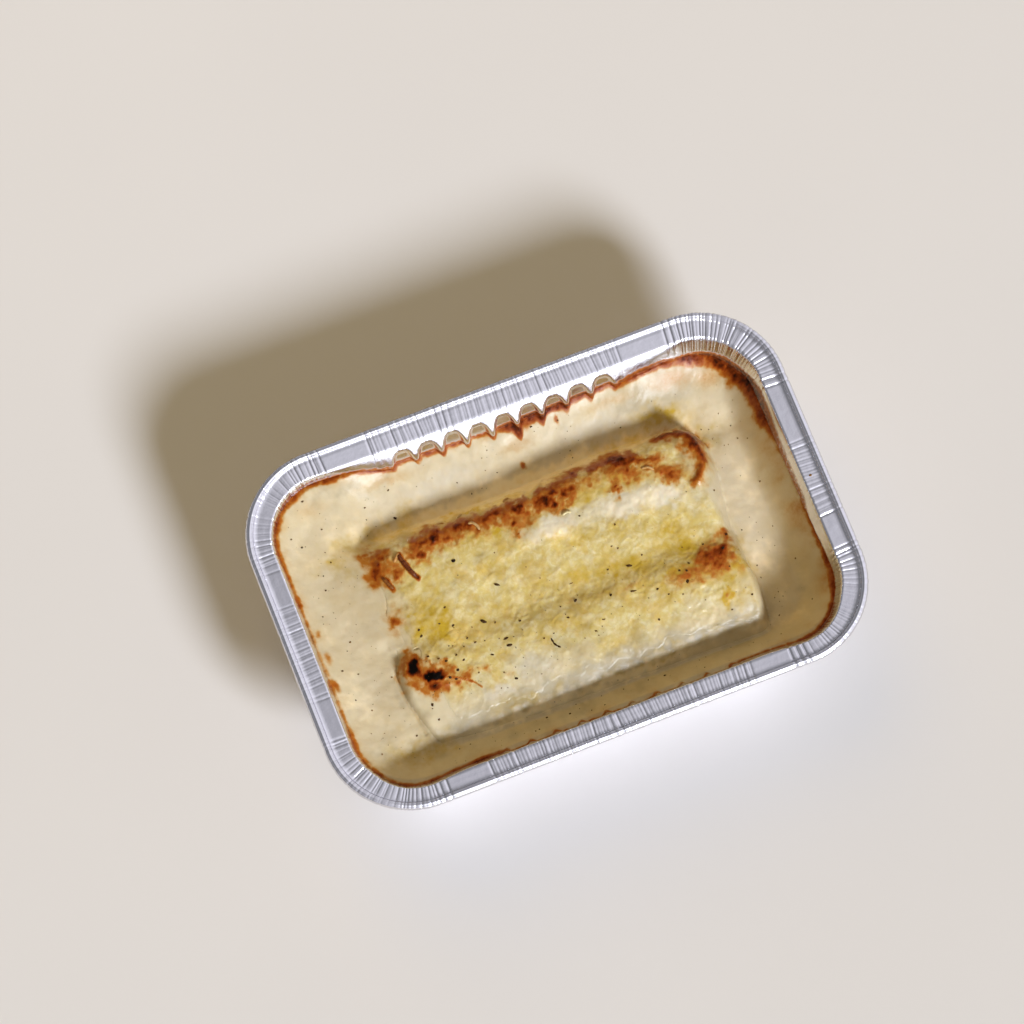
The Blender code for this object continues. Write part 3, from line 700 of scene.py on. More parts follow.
def smooth_profile(points, step, softness=0.9):
    """A smooth curve through the points, resampled at even steps."""

    def resampled(curve, places_for):
        length = np.concatenate([[0], np.cumsum(np.hypot(*np.diff(curve, axis=0).T))])
        places = places_for(length[-1])
        return np.stack([np.interp(places, length, curve[:, k]) for k in range(2)], axis=-1)

    fine = 0.1
    curve = resampled(np.array(points, dtype=float), lambda whole: np.arange(0.0, whole, fine))
    reach = int(4 * softness / fine)
    weights = np.exp(-0.5 * (np.arange(-reach, reach + 1) * fine / softness) ** 2)
    weights /= weights.sum()
    before, after = curve[reach:0:-1], curve[-2:-reach - 2:-1]
    padded = np.concatenate([2 * curve[:1] - before, curve, 2 * curve[-1:] - after])
    curve = np.stack([np.convolve(padded[:, k], weights, mode="valid") for k in range(2)], axis=-1)
    return resampled(curve, lambda whole: np.linspace(0.0, whole, int(whole / step)))


def rounded(share):
    """A quarter circle's height, from 0 to 1."""
    share = np.clip(share, 0.0, 1.0)
    return np.sqrt(np.maximum(1.0 - (1.0 - share) ** 2, 0.0))


def smooth_max(first, second, reach):
    """The higher of two heights, with a fillet where they are within this reach of each other."""
    near = np.maximum(reach - np.abs(first - second), 0.0) / reach
    return np.maximum(first, second) + near * near * reach / 4


CREASE_DEPTH = 0.6
CREASE_HALF = 0.6
STRAND_COUNT = 1100
STRAND_REACH = 5.5
RAISED_EDGE = ((51, 30), (57, 29.8), (61.5, 26.5), (63.4, 20), (63, 14), (58.5, 9))
ROLLS_TOP = (24.0, 31.0)


class Food:
    """Heights of the food's upper surface, which the sauce, the rolls and the cheese share."""

    def __init__(self):
        self.noise = Noise(21)
        self.profile = smooth_profile(ROLLS_PROFILE, 0.42)
        draw = np.random.default_rng(9)
        self.strands = []
        for _ in range(STRAND_COUNT):
            x, y = draw.uniform(-62, 62), draw.uniform(-42, 27)
            heading, length = draw.normal(0.35, 0.8), draw.uniform(1.2, 6.0)
            dx, dy = math.cos(heading) * length / 2, math.sin(heading) * length / 2
            height, width = draw.uniform(0.02, 0.23), draw.uniform(0.2, 0.48)
            self.strands.append(((x - dx, y - dy), (x + dx, y + dy), height, width))

    def rolls(self, x, y):
        """Top of the two rolls, low outside them."""
        # The profile wanders a little to the sides along the rolls
        side = y - 0.6 * self.noise.rough(x, 0 * x + 17, 22.0) - 0.55 * self.noise.rough(x, y, 9.0)
        z = np.interp(side, *self.profile.T)
        # Each end is rounded over a length of its own, and the right one is softest in the middle
        left, right = np.interp(y, *zip(*LEFT_END)), np.interp(y, *zip(*RIGHT_END))
        left_length = mix(5.4, 7.0, smoothstep(-18.0, -8.0, y))
        soft_right = window(y, -24.0, -13.0, 22.0, 31.0)
        right_length = mix(4.6, 8.0, soft_right)
        right = right + 1.6 * soft_right
        ends = np.minimum(rounded((x - left) / left_length), rounded((right - x) / right_length))
        end = ROLLS_FOOT + (z - ROLLS_FOOT) * ends
        # The far roll's left end sinks slowly into the sauce instead
        melted = mix(25.0, z, smoothstep(-84.0, -53.0, x))
        far_left = smoothstep(-19.0, -3.0, y) * smoothstep(-50.0, -58.0, x)
        z = mix(end, melted, far_left)
        top = smoothstep(*ROLLS_TOP, z)
        z = z + top * 0.40 * self.noise.rough(x, y, 17.0)
        return z + top * self.forms(x, y)

    def forms(self, x, y):
        """The named forms: the turned-up end of the far roll, its hollow, and the patch of bare roll."""
        lip = bell(path_distance(x, y, RAISED_EDGE), 1.7)
        hollow = -1.2 * np.exp(-(((x - 55.0) / 4.6) ** 2 + ((y - 21.5) / 6.0) ** 2))
        patch = -0.3 * np.exp(-((((x + 20) / 10.5) ** 2 + ((y + 30) / 6.0) ** 2) ** 2))
        return lip + hollow + patch

    def sauce(self, x, y, wall_distance):
        """Height of the sauce: a level that falls to +X and climbs at the walls."""
        level = LEVEL_MIDDLE - LEVEL_FALL * x
        # Higher past the right end of the far trough, and past the rolls' left end
        level = level + 2.5 * smoothstep(15.0, 60.0, x) * smoothstep(26.0, 44.0, y)
        level = level + LEFT_LEVEL_RISE * smoothstep(-54.0, -68.0, x) * smoothstep(-52.0, -38.0, y)
        contact = contact_height(x, y)
        near = np.clip(1.0 - wall_distance / CLIMB_REACH, 0.0, 1.0)
        climb = level + (contact - level) * near * near * (1.6 - 0.6 * near)
        # At the far wall the climb starts further out and is gentler
        gentle = np.minimum(contact - level, FAR_SLOPE_RISE - 2.2 * smoothstep(25.0, 58.0, x))
        shoulder = level + gentle * np.clip(1.0 - wall_distance / FAR_SLOPE_REACH, 0.0, 1.0) ** 1.25
        steep = np.clip(1.0 - wall_distance / FAR_STEEP_REACH, 0.0, 1.0) ** 2
        shoulder = shoulder + (contact - level - gentle) * steep
        far = smoothstep(26.0, 40.0, y) * smoothstep(96.0, 62.0, np.abs(x))
        height = mix(climb, shoulder, far)
        # Slow swells, fine unevenness, and crust where the edge is browned
        height = height + 0.30 * self.noise.rough(x + 50, y, 14.0) * smoothstep(0.0, 5.0, wall_distance)
        height = height + 0.08 * self.noise.rough(x + 31, y, 3.0, octaves=3)
        width, strength = edge_browning(x, y)
        crust = strength * smoothstep(width + 0.8, 0.0, wall_distance)
        return height + 0.22 * crust * self.noise.rough(x, y + 53, 1.3, octaves=2)

    def surface(self, x, y, wall_distance):
        """Height of the whole, how far the rolls stand out there, and how far sauce covers them."""
        rolls, sauce = self.rolls(x, y), self.sauce(x, y, wall_distance)
        # How wide the fillet between roll and sauce is, by place
        near_left = smoothstep(-8.0, -13.0, y) * smoothstep(-56.0, -62.0, x)
        right = smoothstep(50.0, 58.0, x) * window(y, -26.0, -14.0, 24.0, 32.0)
        fillet = mix(6.0, 7.0, smoothstep(20.0, 30.0, y))
        fillet = mix(mix(fillet, 1.0, near_left), 10.0, right)
        height = smooth_max(rolls, sauce, fillet)
        height = height - CREASE_DEPTH * bell(path_distance(x, y, CREASE), CREASE_HALF)
        standing = smoothstep(-0.8, 1.4, rolls - sauce)
        wobble = 1.5 * self.noise.rough(x + 5, y, 7.0)
        film = smoothstep(-59.5, -63.5, x + 0.5 * wobble) * smoothstep(-11.0, -6.0, y)
        return height, standing, film

    def relief(self, x, y, masks):
        """The melted shreds, and the crags where the cheese is browned."""
        bend_x, bend_y = 0.9 * self.noise.rough(x, y, 4.0), 0.9 * self.noise.rough(x + 40, y, 4.0)
        shreds = np.zeros_like(x)
        for start, end, height, width in self.strands:
            middle = ((start[0] + end[0]) / 2, (start[1] + end[1]) / 2)
            near = (np.abs(x - middle[0]) < STRAND_REACH) & (np.abs(y - middle[1]) < STRAND_REACH)
            away = segment_distance(x[near] + bend_x[near], y[near] + bend_y[near], start, end)
            shreds[near] = np.maximum(shreds[near], height * bell(away, width))
        crag = np.clip(masks["brown"], 0, 1.2) * (0.30 + 0.42 * self.noise.rough(x, y, 1.7, octaves=3))
        lumps = 0.13 * self.noise.rough(x, y + 10, 2.4, octaves=3) + 0.14 * self.noise.rough(x, y - 10, 6.0)
        # Shreds show in patches, and hardly where the cheese has run smooth
        patchy = 0.35 + 0.65 * smoothstep(-0.5, 0.6, self.noise.rough(x + 20, y + 20, 9.0))
        calm = 1.0 - 0.8 * np.clip(masks["milk"], 0, 1)
        return shreds * calm * patchy + lumps + crag


WALL_INSET_X = 12.0
WALL_INSET_Y = 12.5


def wall_distance_of(x, y):
    """Rough distance of places inside the tray from its wall."""
    corner = RIM_CORNER - WALL_INSET_X
    dx = np.abs(x) - (RIM_HALF_X - WALL_INSET_X - corner)
    dy = np.abs(y) - (RIM_HALF_Y - WALL_INSET_Y - corner)
    outside = np.hypot(np.maximum(dx, 0), np.maximum(dy, 0))
    return np.maximum(corner - outside - np.minimum(np.maximum(dx, dy), 0), 0.0)


# How far a surface lies under the one that covers it
SINK = 0.8
SINK_EVERYWHERE = 0.02

# The sauce's side, as inset and height or as shares of the climb, and the well in it for the rolls
SAUCE_FOOT = ((23.6, 0.8), (20.9, 3.4))
SIDE_SHARES = (0.4, 0.6, 0.72, 0.82, 0.9, 0.96)
WELL_HALF = (57.5, 33.0)
WELL_CORNER = 5.0
WELL_HEIGHT = 3.0

# The rolls' grid of points, their middle and their underside
ROLLS_ALONG = (-73.0, 67.5)
ROLLS_MIDDLE = (-0.8, -7.2)
ROLLS_OVERLAP = 2.0
LOWEST_TOP = 5.0
FOOT_SHARE = 0.93
FOOT_HEIGHT = 3.2

# The cheese's grid of points
CHEESE_ALONG = (-65.0, 65.5)
CHEESE_ACROSS = (-44.2, 32.0)
CHEESE_STEP = 0.4
CHEESE_THICKNESS = 1.6


def build_sauce(food, tints, material):
    """The sauce: its side along the wall, its surface, and the well in which the rolls stand."""
    rim = Rim(SAUCE_STATIONS)
    contact = contact_height(rim.x, rim.y)
    for _ in range(3):
        edge = rim.at(rim.wall(contact) - 0.15, contact)
        contact = contact_height(edge[:, 0], edge[:, 1]) + 0.35 * food.noise.rough(rim.s, 0 * rim.s, 6.0)
    edge_x, edge_y = edge[:, 0], edge[:, 1]
    core_x, core_y = rim.x - rim.nx * RIM_CORNER, rim.y - rim.ny * RIM_CORNER
    straight_x, straight_y = (half - WELL_CORNER for half in WELL_HALF)
    inner_x = core_x * straight_x / STRAIGHT_X + WELL_CORNER * rim.nx + ROLLS_MIDDLE[0]
    inner_y = core_y * straight_y / STRAIGHT_Y + WELL_CORNER * rim.ny + ROLLS_MIDDLE[1]
    rings = [rim.at(inset, height) for inset, height in SAUCE_FOOT]
    for share in SIDE_SHARES:
        height = mix(SAUCE_FOOT[-1][1], contact, share)
        rings.append(rim.at(rim.wall(height) + 0.1, height))
    distance = [np.zeros(SAUCE_STATIONS)] * len(rings)
    span = np.hypot(edge_x - inner_x, edge_y - inner_y)
    for share in np.linspace(0.0, 1.0, SAUCE_RINGS) ** 1.12:
        x, y = mix(edge_x, inner_x, share), mix(edge_y, inner_y, share)
        z, standing, film = food.surface(x, y, wall_distance_of(x, y))
        under_roll = smoothstep(0.5, 1.0, standing) * (1.0 - smoothstep(0.05, 0.3, film))
        under_cheese = smoothstep(0.35, 0.7, cheese_cover(x, y, tints.noise))
        z = z - SINK * np.maximum(under_roll, under_cheese)
        z = np.where(share == 0.0, contact, z)
        rings.append(np.stack([x, y, z], axis=-1))
        distance.append(span * share)
    rings.append(np.stack([inner_x, inner_y, np.full(SAUCE_STATIONS, WELL_HEIGHT)], axis=-1))
    distance.append(span)
    rings = np.array(rings)
    masks = tints.at(rings[..., 0], rings[..., 1], wall_distance=np.array(distance))
    return ring_solid("cream_sauce", rings, material, masks)


def whole_steps(values):
    """The same stretch of values, in whole steps of the underside."""
    count = (len(values) - 1) // UNDER_STEP * UNDER_STEP + 1
    return np.interp(np.linspace(0, len(values) - 1, count), np.arange(len(values)), values)


def spaced(low, high, coarse, fine, reach):
    """Places from low to high, closer together within reach of both ends."""
    places = [low]
    while places[-1] < high:
        edge = min(places[-1] - low, high - places[-1])
        places.append(places[-1] + mix(fine, coarse, float(smoothstep(0.6 * reach, reach, edge))))
    return whole_steps(np.array(places))


def roll_foot(top):
    """The underside of a roll: on the tray's floor, and narrower than the roll, as the walls slope."""
    foot = FOOT_SHARE * top
    foot[..., 2] = FOOT_HEIGHT
    return foot


def build_roll(name, food, tints, low_y, high_y, material):
    """A roll down to the tray's floor, a little sunk where sauce or cheese covers it."""
    across = food.profile[:, 0]
    ys = whole_steps(across[(across >= low_y) & (across <= high_y)])
    x, y = np.meshgrid(spaced(*ROLLS_ALONG, 0.62, 0.36, 14.0), ys, indexing="ij")
    height, standing, film = food.surface(x, y, wall_distance_of(x, y))
    rolls = food.rolls(x, y)
    z = rolls + (height - rolls) * smoothstep(0.0, 0.5, standing)
    cover = cheese_cover(x, y, tints.noise)
    z = z - SINK * smoothstep(0.45, 0.8, np.maximum(cover, film)) - SINK_EVERYWHERE
    # Past the groove the roll sinks under the other one
    inward = 1.0 if low_y < GROOVE_Y - 5.0 else -1.0
    z = z - SINK * smoothstep(0.4, 1.6, inward * (y - GROOVE_Y))
    points = np.stack([x, y, np.maximum(z, LOWEST_TOP)], axis=-1)
    return grid_solid(name, points, roll_foot, material, tints.at)


def build_cheese(food, tints, material):
    """The cheese layer, which dips under the surface round its edge."""
    across = food.profile[:, 0]
    ys = whole_steps(across[(across >= CHEESE_ACROSS[0]) & (across <= CHEESE_ACROSS[1])])
    x, y = np.meshgrid(spaced(*CHEESE_ALONG, CHEESE_STEP, CHEESE_STEP, 8.0), ys, indexing="ij")
    height, _, _ = food.surface(x, y, wall_distance_of(x, y))
    masks = tints.at(x, y)
    cover = masks["cheese"]
    lift = cover * food.relief(x, y, masks) + 0.03 - SINK * smoothstep(0.2, 0.0, cover)
    points = np.stack([x, y, height + lift], axis=-1)
    thickness = (0.0, 0.0, CHEESE_THICKNESS)
    return grid_solid("melted_cheese", points, lambda top: top - thickness, material, tints.at)


# Shreds that stand off the cheese: path, half width, tone (0 pale, 1 browned)

SHREDS = (
    (((51.2, 31.2), (53.0, 32.2), (55.2, 32.8), (57.0, 32.0), (57.4, 30.2)), 0.42, 0.12),
    (((-54.6, 20.2), (-53.2, 21.6), (-51.8, 22.8)), 0.55, 0.35),
    (((-52.4, 22.4), (-51.6, 19.2), (-50.4, 15.6), (-48.8, 12.0)), 0.75, 0.95),
    (((-60.4, 16.8), (-59.4, 14.2), (-58.2, 11.4)), 0.6, 0.8),
    (((-24.6, 24.2), (-23.0, 24.0), (-21.8, 22.2), (-21.6, 20.4)), 0.5, 0.25),
    (((-35.8, 28.2), (-34.2, 28.8), (-32.4, 28.2)), 0.4, 0.3),
    (((-27.0, 28.0), (-26.2, 29.0), (-24.8, 29.2)), 0.4, 0.2),
    (((-9.6, 27.6), (-8.6, 28.8), (-7.0, 28.6)), 0.4, 0.3),
    (((8.0, 14.8), (10.0, 15.4), (11.6, 14.6)), 0.5, 0.0),
    (((41.0, 20.6), (43.4, 20.2), (45.2, 18.6)), 0.45, 0.3),
)

# Flecks of pepper and herb: x, y, length, width, heading in degrees, tone (0 green-brown, 1 black)
FLECKS = (
    (-34.5, 13.2, 1.7, 1.5, 0, 1.0), (-23.0, -0.3, 2.2, 0.9, -35, 0.8), (-32.3, -11.0, 2.8, 1.2, -40, 0.85),
    (24.0, -10.8, 2.6, 0.9, -15, 0.7), (-27.0, -22.6, 2.2, 1.3, -10, 0.8), (-27.2, -19.8, 2.2, 0.9, 0, 0.8),
    (-29.0, -34.4, 1.6, 0.9, -20, 0.9), (-55.0, -8.0, 1.2, 0.9, 40, 0.8), (-55.0, -5.6, 1.2, 0.9, 20, 0.7),
    (-43.5, -1.4, 0.9, 0.8, 0, 0.7), (-43.0, -8.4, 1.3, 0.7, 20, 0.8), (-47.4, -6.2, 0.9, 0.6, 0, 0.6),
    (-60.4, -32.6, 1.3, 1.1, 60, 0.8), (-60.0, -38.2, 1.0, 0.9, 0, 0.7), (-34.0, -23.6, 1.3, 0.7, -20, 0.8),
    (-20.2, -15.6, 1.1, 0.7, 0, 0.8), (1.0, -15.8, 1.6, 1.1, 40, 0.9), (13.5, -18.6, 1.1, 1.0, 0, 0.85),
    (21.5, -20.2, 2.6, 0.7, -10, 0.6), (30.0, -22.6, 1.1, 0.8, 0, 0.8), (33.0, -25.8, 0.9, 0.6, 0, 0.7),
    (41.0, -24.0, 1.5, 1.2, 60, 0.8), (-3.8, -20.8, 1.3, 0.7, -30, 0.7), (-50.2, -20.0, 1.1, 0.9, 0, 0.8),
    (-55.6, -16.0, 1.1, 0.9, 0, 0.7), (-44.2, -21.8, 1.2, 0.8, 30, 0.7), (-47.4, -24.4, 1.3, 1.0, 0, 0.9),
    (-51.0, -26.0, 1.3, 0.9, -30, 0.9), (-49.2, -27.2, 1.2, 0.8, -20, 0.9), (13.8, 12.4, 0.9, 0.7, 0, 0.7),
    (24.5, 4.8, 0.8, 0.7, 0, 0.5), (63.0, 4.4, 0.9, 0.8, 0, 0.5), (20.5, -2.0, 0.9, 0.6, 0, 0.4),
    (16.2, -9.2, 1.0, 0.6, 0, 0.6), (29.6, -8.6, 0.9, 0.6, 30, 0.6), (2.0, -9.2, 1.6, 0.4, 0, 0.3),
    (-28.6, -12.8, 0.9, 0.6, 50, 0.6), (-40.0, -14.6, 1.0, 0.7, 40, 0.7), (57.6, -17.0, 1.4, 1.1, 60, 1.0),
    (44.0, -17.8, 1.0, 0.7, -30, 0.8), (42.2, -20.2, 1.0, 0.8, 0, 0.9), (39.8, -19.2, 1.0, 0.8, 0, 0.8),
    (3.8, -28.8, 1.2, 0.7, -20, 0.5), (26.5, -32.8, 1.0, 0.8, -30, 0.7), (61.2, -36.2, 0.9, 0.8, 0, 0.7),
    (-38.0, -17.2, 1.3, 0.5, 10, 0.5), (-46.0, -19.2, 0.9, 0.8, 60, 0.7), (-52.4, -18.2, 1.2, 0.7, 0, 0.4),
    (37.8, -27.6, 0.9, 0.5, 60, 0.6), (7.8, -26.0, 1.4, 0.5, -20, 0.5), (-14.6, -24.8, 0.8, 0.7, 0, 0.5),
    (51.6, -13.0, 0.9, 0.7, 0, 0.7), (61.0, -12.2, 1.1, 0.9, 0, 0.8), (52.6, -38.6, 0.8, 0.6, 0, 0.5),
    (96.2, -4.6, 1.2, 1.0, 0, 0.2),
    (-83, 38.2, 0.9, 0.7, 0, 0.8), (-80.6, 20.6, 0.8, 0.7, 0, 0.7), (-85.6, 42, 0.8, 0.6, 0, 0.6),
    (-77, 53.4, 1.0, 0.7, 0, 0.7), (-74, 42, 0.9, 0.6, 0, 0.6), (-46.2, 47.6, 1.1, 0.6, 30, 0.7),
    (-56.4, 44.6, 0.9, 0.6, 0, 0.6), (-47.4, 37.8, 1.5, 1.0, -30, 0.9), (-69.4, -40.6, 0.9, 0.7, 0, 0.6),
    (-23.4, -50.4, 1.0, 0.8, 0, 0.8), (-15.4, -52.4, 0.9, 0.7, 0, 0.7), (21.6, -51.4, 1.1, 0.8, 0, 0.8),
    (-85.8, -9.6, 1.0, 0.7, 0, 0.6), (20.6, 50.2, 0.7, 0.6, 0, 0.6), (10.6, 51.2, 1.0, 0.6, 0, 0.7),
)
CURLED_FLECK = ((-12.2, -25.6), (-12.0, -27.4), (-11.2, -28.8), (-10.2, -29.8))

# Where small flecks lie by chance: lowest and highest x and y, how many
FLECK_FIELDS = (
    (-62, 0, -38, -8, 90), (0, 62, -34, -8, 45), (-60, 60, -8, 18, 26), (-88, -68, -50, 52, 70),
    (68, 84, -45, 45, 46), (-66, 66, 34, 52, 60), (-66, 70, -56, -46, 50),
)


RAY_FROM = 60.0
FLECK_CORNERS = 9
FLECK_RINGS = ((-0.16, 0.9), (0.10, 1.0), (0.26, 0.55))
CURL_LENGTH = 2.2
CURL_WIDTH = 0.75
SHRED_SIDES = 8


class Ground:
    """Finds the food's upper surface under a place."""

    def __init__(self, objects):
        self.trees = []
        graph = bpy.context.evaluated_depsgraph_get()
        for obj in objects:
            self.trees.append(BVHTree.FromObject(obj, graph))

    def at(self, x, y):
        """The topmost point and its normal, in millimetres."""
        best = None
        for tree in self.trees:
            point, normal, _, _ = tree.ray_cast(Vector((x * MM, y * MM, RAY_FROM * MM)), Vector((0, 0, -1)))
            if point and (best is None or point.z > best[0].z):
                best = (point, normal if normal.z > 0 else -normal)
        return best[0] / MM, best[1]


def build_flecks(ground, material):
    """Small irregular flakes, a little sunk into the surface."""
    draw = np.random.default_rng(77)
    flecks = list(FLECKS)
    for low_x, high_x, low_y, high_y, count in FLECK_FIELDS:
        for _ in range(count):
            size = 0.24 + 0.55 * draw.random() ** 2.8
            flecks.append((draw.uniform(low_x, high_x), draw.uniform(low_y, high_y), size,
                           size * draw.uniform(0.5, 0.95), draw.uniform(0, 180), draw.uniform(0.2, 0.9)))
    for start, end in zip(CURLED_FLECK, CURLED_FLECK[1:]):
        heading = math.degrees(math.atan2(end[1] - start[1], end[0] - start[0]))
        middle = ((start[0] + end[0]) / 2, (start[1] + end[1]) / 2)
        flecks.append((*middle, CURL_LENGTH, CURL_WIDTH, heading, 0.85))
    vertices, faces, tones = [], [], []
    for x, y, length, width, heading, tone in flecks:
        point, normal = ground.at(x, y)
        turn = math.radians(heading)
        along = Vector((math.cos(turn), math.sin(turn), 0))
        along = (along - normal * along.dot(normal)).normalized()
        across = normal.cross(along)
        base = len(vertices)
        for level, swell in FLECK_RINGS:
            for k in range(FLECK_CORNERS):
                angle = 2 * math.pi * k / FLECK_CORNERS
                jag = swell * draw.uniform(0.72, 1.12)
                place = point + along * (math.cos(angle) * length / 2 * jag)
                place = place + across * (math.sin(angle) * width / 2 * jag)
                vertices.append(place + normal * (level * min(1.0, width + 0.25)))
                tones.append(tone)
        faces += tube_faces(np.arange(base, len(vertices)).reshape(-1, FLECK_CORNERS))
    return new_mesh("pepper_and_herb_flecks", np.array(vertices), faces, material, {"tone": tones})


def build_shreds(ground, material):
    """Shreds of cheese that lie on the layer, their middle lifted a little."""
    vertices, faces, tones = [], [], []
    for path, half_width, tone in SHREDS:
        curve = smooth_profile(path, 0.35, softness=0.5)
        base = len(vertices)
        for k, (x, y) in enumerate(curve):
            before, after = curve[max(k - 1, 0)], curve[min(k + 1, len(curve) - 1)]
            along = Vector((after[0] - before[0], after[1] - before[1], 0)).normalized()
            across = Vector((-along.y, along.x, 0))
            point, _ = ground.at(x, y)
            share = k / (len(curve) - 1)
            taper = min(1.0, 6 * share + 0.35, 6 * (1 - share) + 0.35)
            arch = 0.35 + 0.45 * math.sin(math.pi * share)
            for side in range(SHRED_SIDES):
                angle = 2 * math.pi * side / SHRED_SIDES
                offset = across * (math.cos(angle) * half_width * taper)
                rise = math.sin(angle) * half_width * 0.75 * taper + arch * half_width
                vertices.append(point + (offset + Vector((0, 0, rise))))
                tones.append(tone)
        faces += tube_faces(np.arange(base, len(vertices)).reshape(-1, SHRED_SIDES))
    return new_mesh("cheese_shreds", np.array(vertices), faces, material, {"tone": tones})


# Materials

CREAM = srgb(211, 193, 158)
ROLL_CREAM = srgb(210, 193, 158)
CHEESE_CREAM = srgb(208, 184, 110)
CHEESE_PALE = srgb(220, 203, 154)
CHEESE_YELLOW = srgb(195, 158, 62)
# Oil's yellow also paints warm shade, and milk's white also paints light
OIL_AND_PAINTED_SHADE_YELLOW = srgb(186, 150, 28)
MILK_AND_PAINTED_LIGHT_WHITE = srgb(206, 194, 172)
BROWN_STEPS = (
    (0.00, srgb(202, 162, 82)), (0.16, srgb(184, 126, 42)), (0.32, srgb(162, 84, 16)),
    (0.48, srgb(134, 56, 10)), (0.64, srgb(100, 38, 8)), (0.82, srgb(56, 20, 6)), (1.0, srgb(12, 7, 5)),
)
BROWN_FULL = 1.35
FILM_STEPS = ((0.0, srgb(186, 140, 84)), (0.5, srgb(160, 88, 36)), (1.0, srgb(84, 32, 14)))
FOIL_METAL = srgb(228, 227, 233)
FLECK_STEPS = ((0.0, srgb(142, 100, 38)), (0.5, srgb(96, 64, 22)), (1.0, srgb(38, 24, 10)))
SHRED_STEPS = ((0.0, srgb(214, 196, 146)), (0.4, srgb(184, 124, 56)), (1.0, srgb(88, 32, 12)))
# How far painted shade darkens and painted light lightens the colour
PAINTED_SHADE_SHARE = (0.74, 0.74, 0.74)
PAINTED_LIGHT_SHARE = (0.34, 0.34, 0.34)


class Nodes:
    """Short calls for building the nodes of a material or of the world."""

    def __init__(self, tree, shader, coordinates):
        self.tree = tree
        self.shader = tree.nodes[shader]
        self.place = self.add("ShaderNodeTexCoord").outputs[coordinates]

    def add(self, kind, **settings):
        node = self.tree.nodes.new(kind)
        for key, value in settings.items():
            setattr(node, key, value)
        return node

    def feed(self, socket, value):
        """Links another node's output to the socket, or sets the socket's own value."""
        if isinstance(value, bpy.types.NodeSocket):
            self.tree.links.new(value, socket)
        elif socket.type == "RGBA":
            socket.default_value = (*value, 1.0)
        else:
            socket.default_value = value

    def set(self, name, value):
        self.feed(self.shader.inputs[name], value)

    def mask(self, name):
        return self.add("ShaderNodeAttribute", attribute_name=name).outputs["Fac"]

    def noise(self, size_mm, detail=3.0, roughness=0.6, distortion=0.0):
        node = self.add("ShaderNodeTexNoise")
        for name, value in (("Vector", self.place), ("Scale", 1.0 / (size_mm * MM)), ("Detail", detail),
                            ("Roughness", roughness), ("Distortion", distortion)):
            self.feed(node.inputs[name], value)
        return node.outputs["Fac"]

    def math(self, operation, first, second=0.0, third=0.0):
        node = self.add("ShaderNodeMath", operation=operation)
        for socket, value in zip(node.inputs, (first, second, third)):
            self.feed(socket, value)
        return node.outputs[0]

    def around_zero(self, value, size):
        """A noise value moved from about one half to about zero, and scaled."""
        return self.math("MULTIPLY", self.math("SUBTRACT", value, 0.5), size)

    def span(self, value, low, high, to_low=0.0, to_high=1.0):
        """Takes values from one range smoothly to another."""
        node = self.add("ShaderNodeMapRange", interpolation_type="SMOOTHSTEP")
        for name, number in (("Value", value), ("From Min", low), ("From Max", high),
                             ("To Min", to_low), ("To Max", to_high)):
            self.feed(node.inputs[name], number)
        return node.outputs["Result"]

    def blend(self, share, low, high, blend_type="MIX"):
        """Blends two colours, whose sockets are the node's seventh and eighth."""
        node = self.add("ShaderNodeMix", data_type="RGBA", blend_type=blend_type)
        for number, value in ((0, share), (6, low), (7, high)):
            self.feed(node.inputs[number], value)
        return node.outputs[2]

    def ramp(self, value, steps):
        node = self.add("ShaderNodeValToRGB")
        ramp = node.color_ramp
        while len(ramp.elements) < len(steps):
            ramp.elements.new(0.5)
        for element, (position, colour) in zip(ramp.elements, steps):
            element.position = position
            element.color = (*colour, 1.0)
        self.feed(node.inputs["Fac"], value)
        return node.outputs["Color"]

    def bump(self, height, distance_mm, base=None):
        node = self.add("ShaderNodeBump")
        self.feed(node.inputs["Distance"], distance_mm * MM)
        self.feed(node.inputs["Height"], height)
        if base is not None:
            self.feed(node.inputs["Normal"], base)
        return node.outputs["Normal"]


def new_material(name):
    """A new material, and the calls for building its nodes."""
    material = bpy.data.materials.new(name)
    material.use_nodes = True
    return material, Nodes(material.node_tree, "Principled BSDF", "Object")


def darker(colour, *shares):
    """A colour times one share, or times a share for each channel."""
    return tuple(c * share for c, share in zip(colour, shares * 3 if len(shares) == 1 else shares))


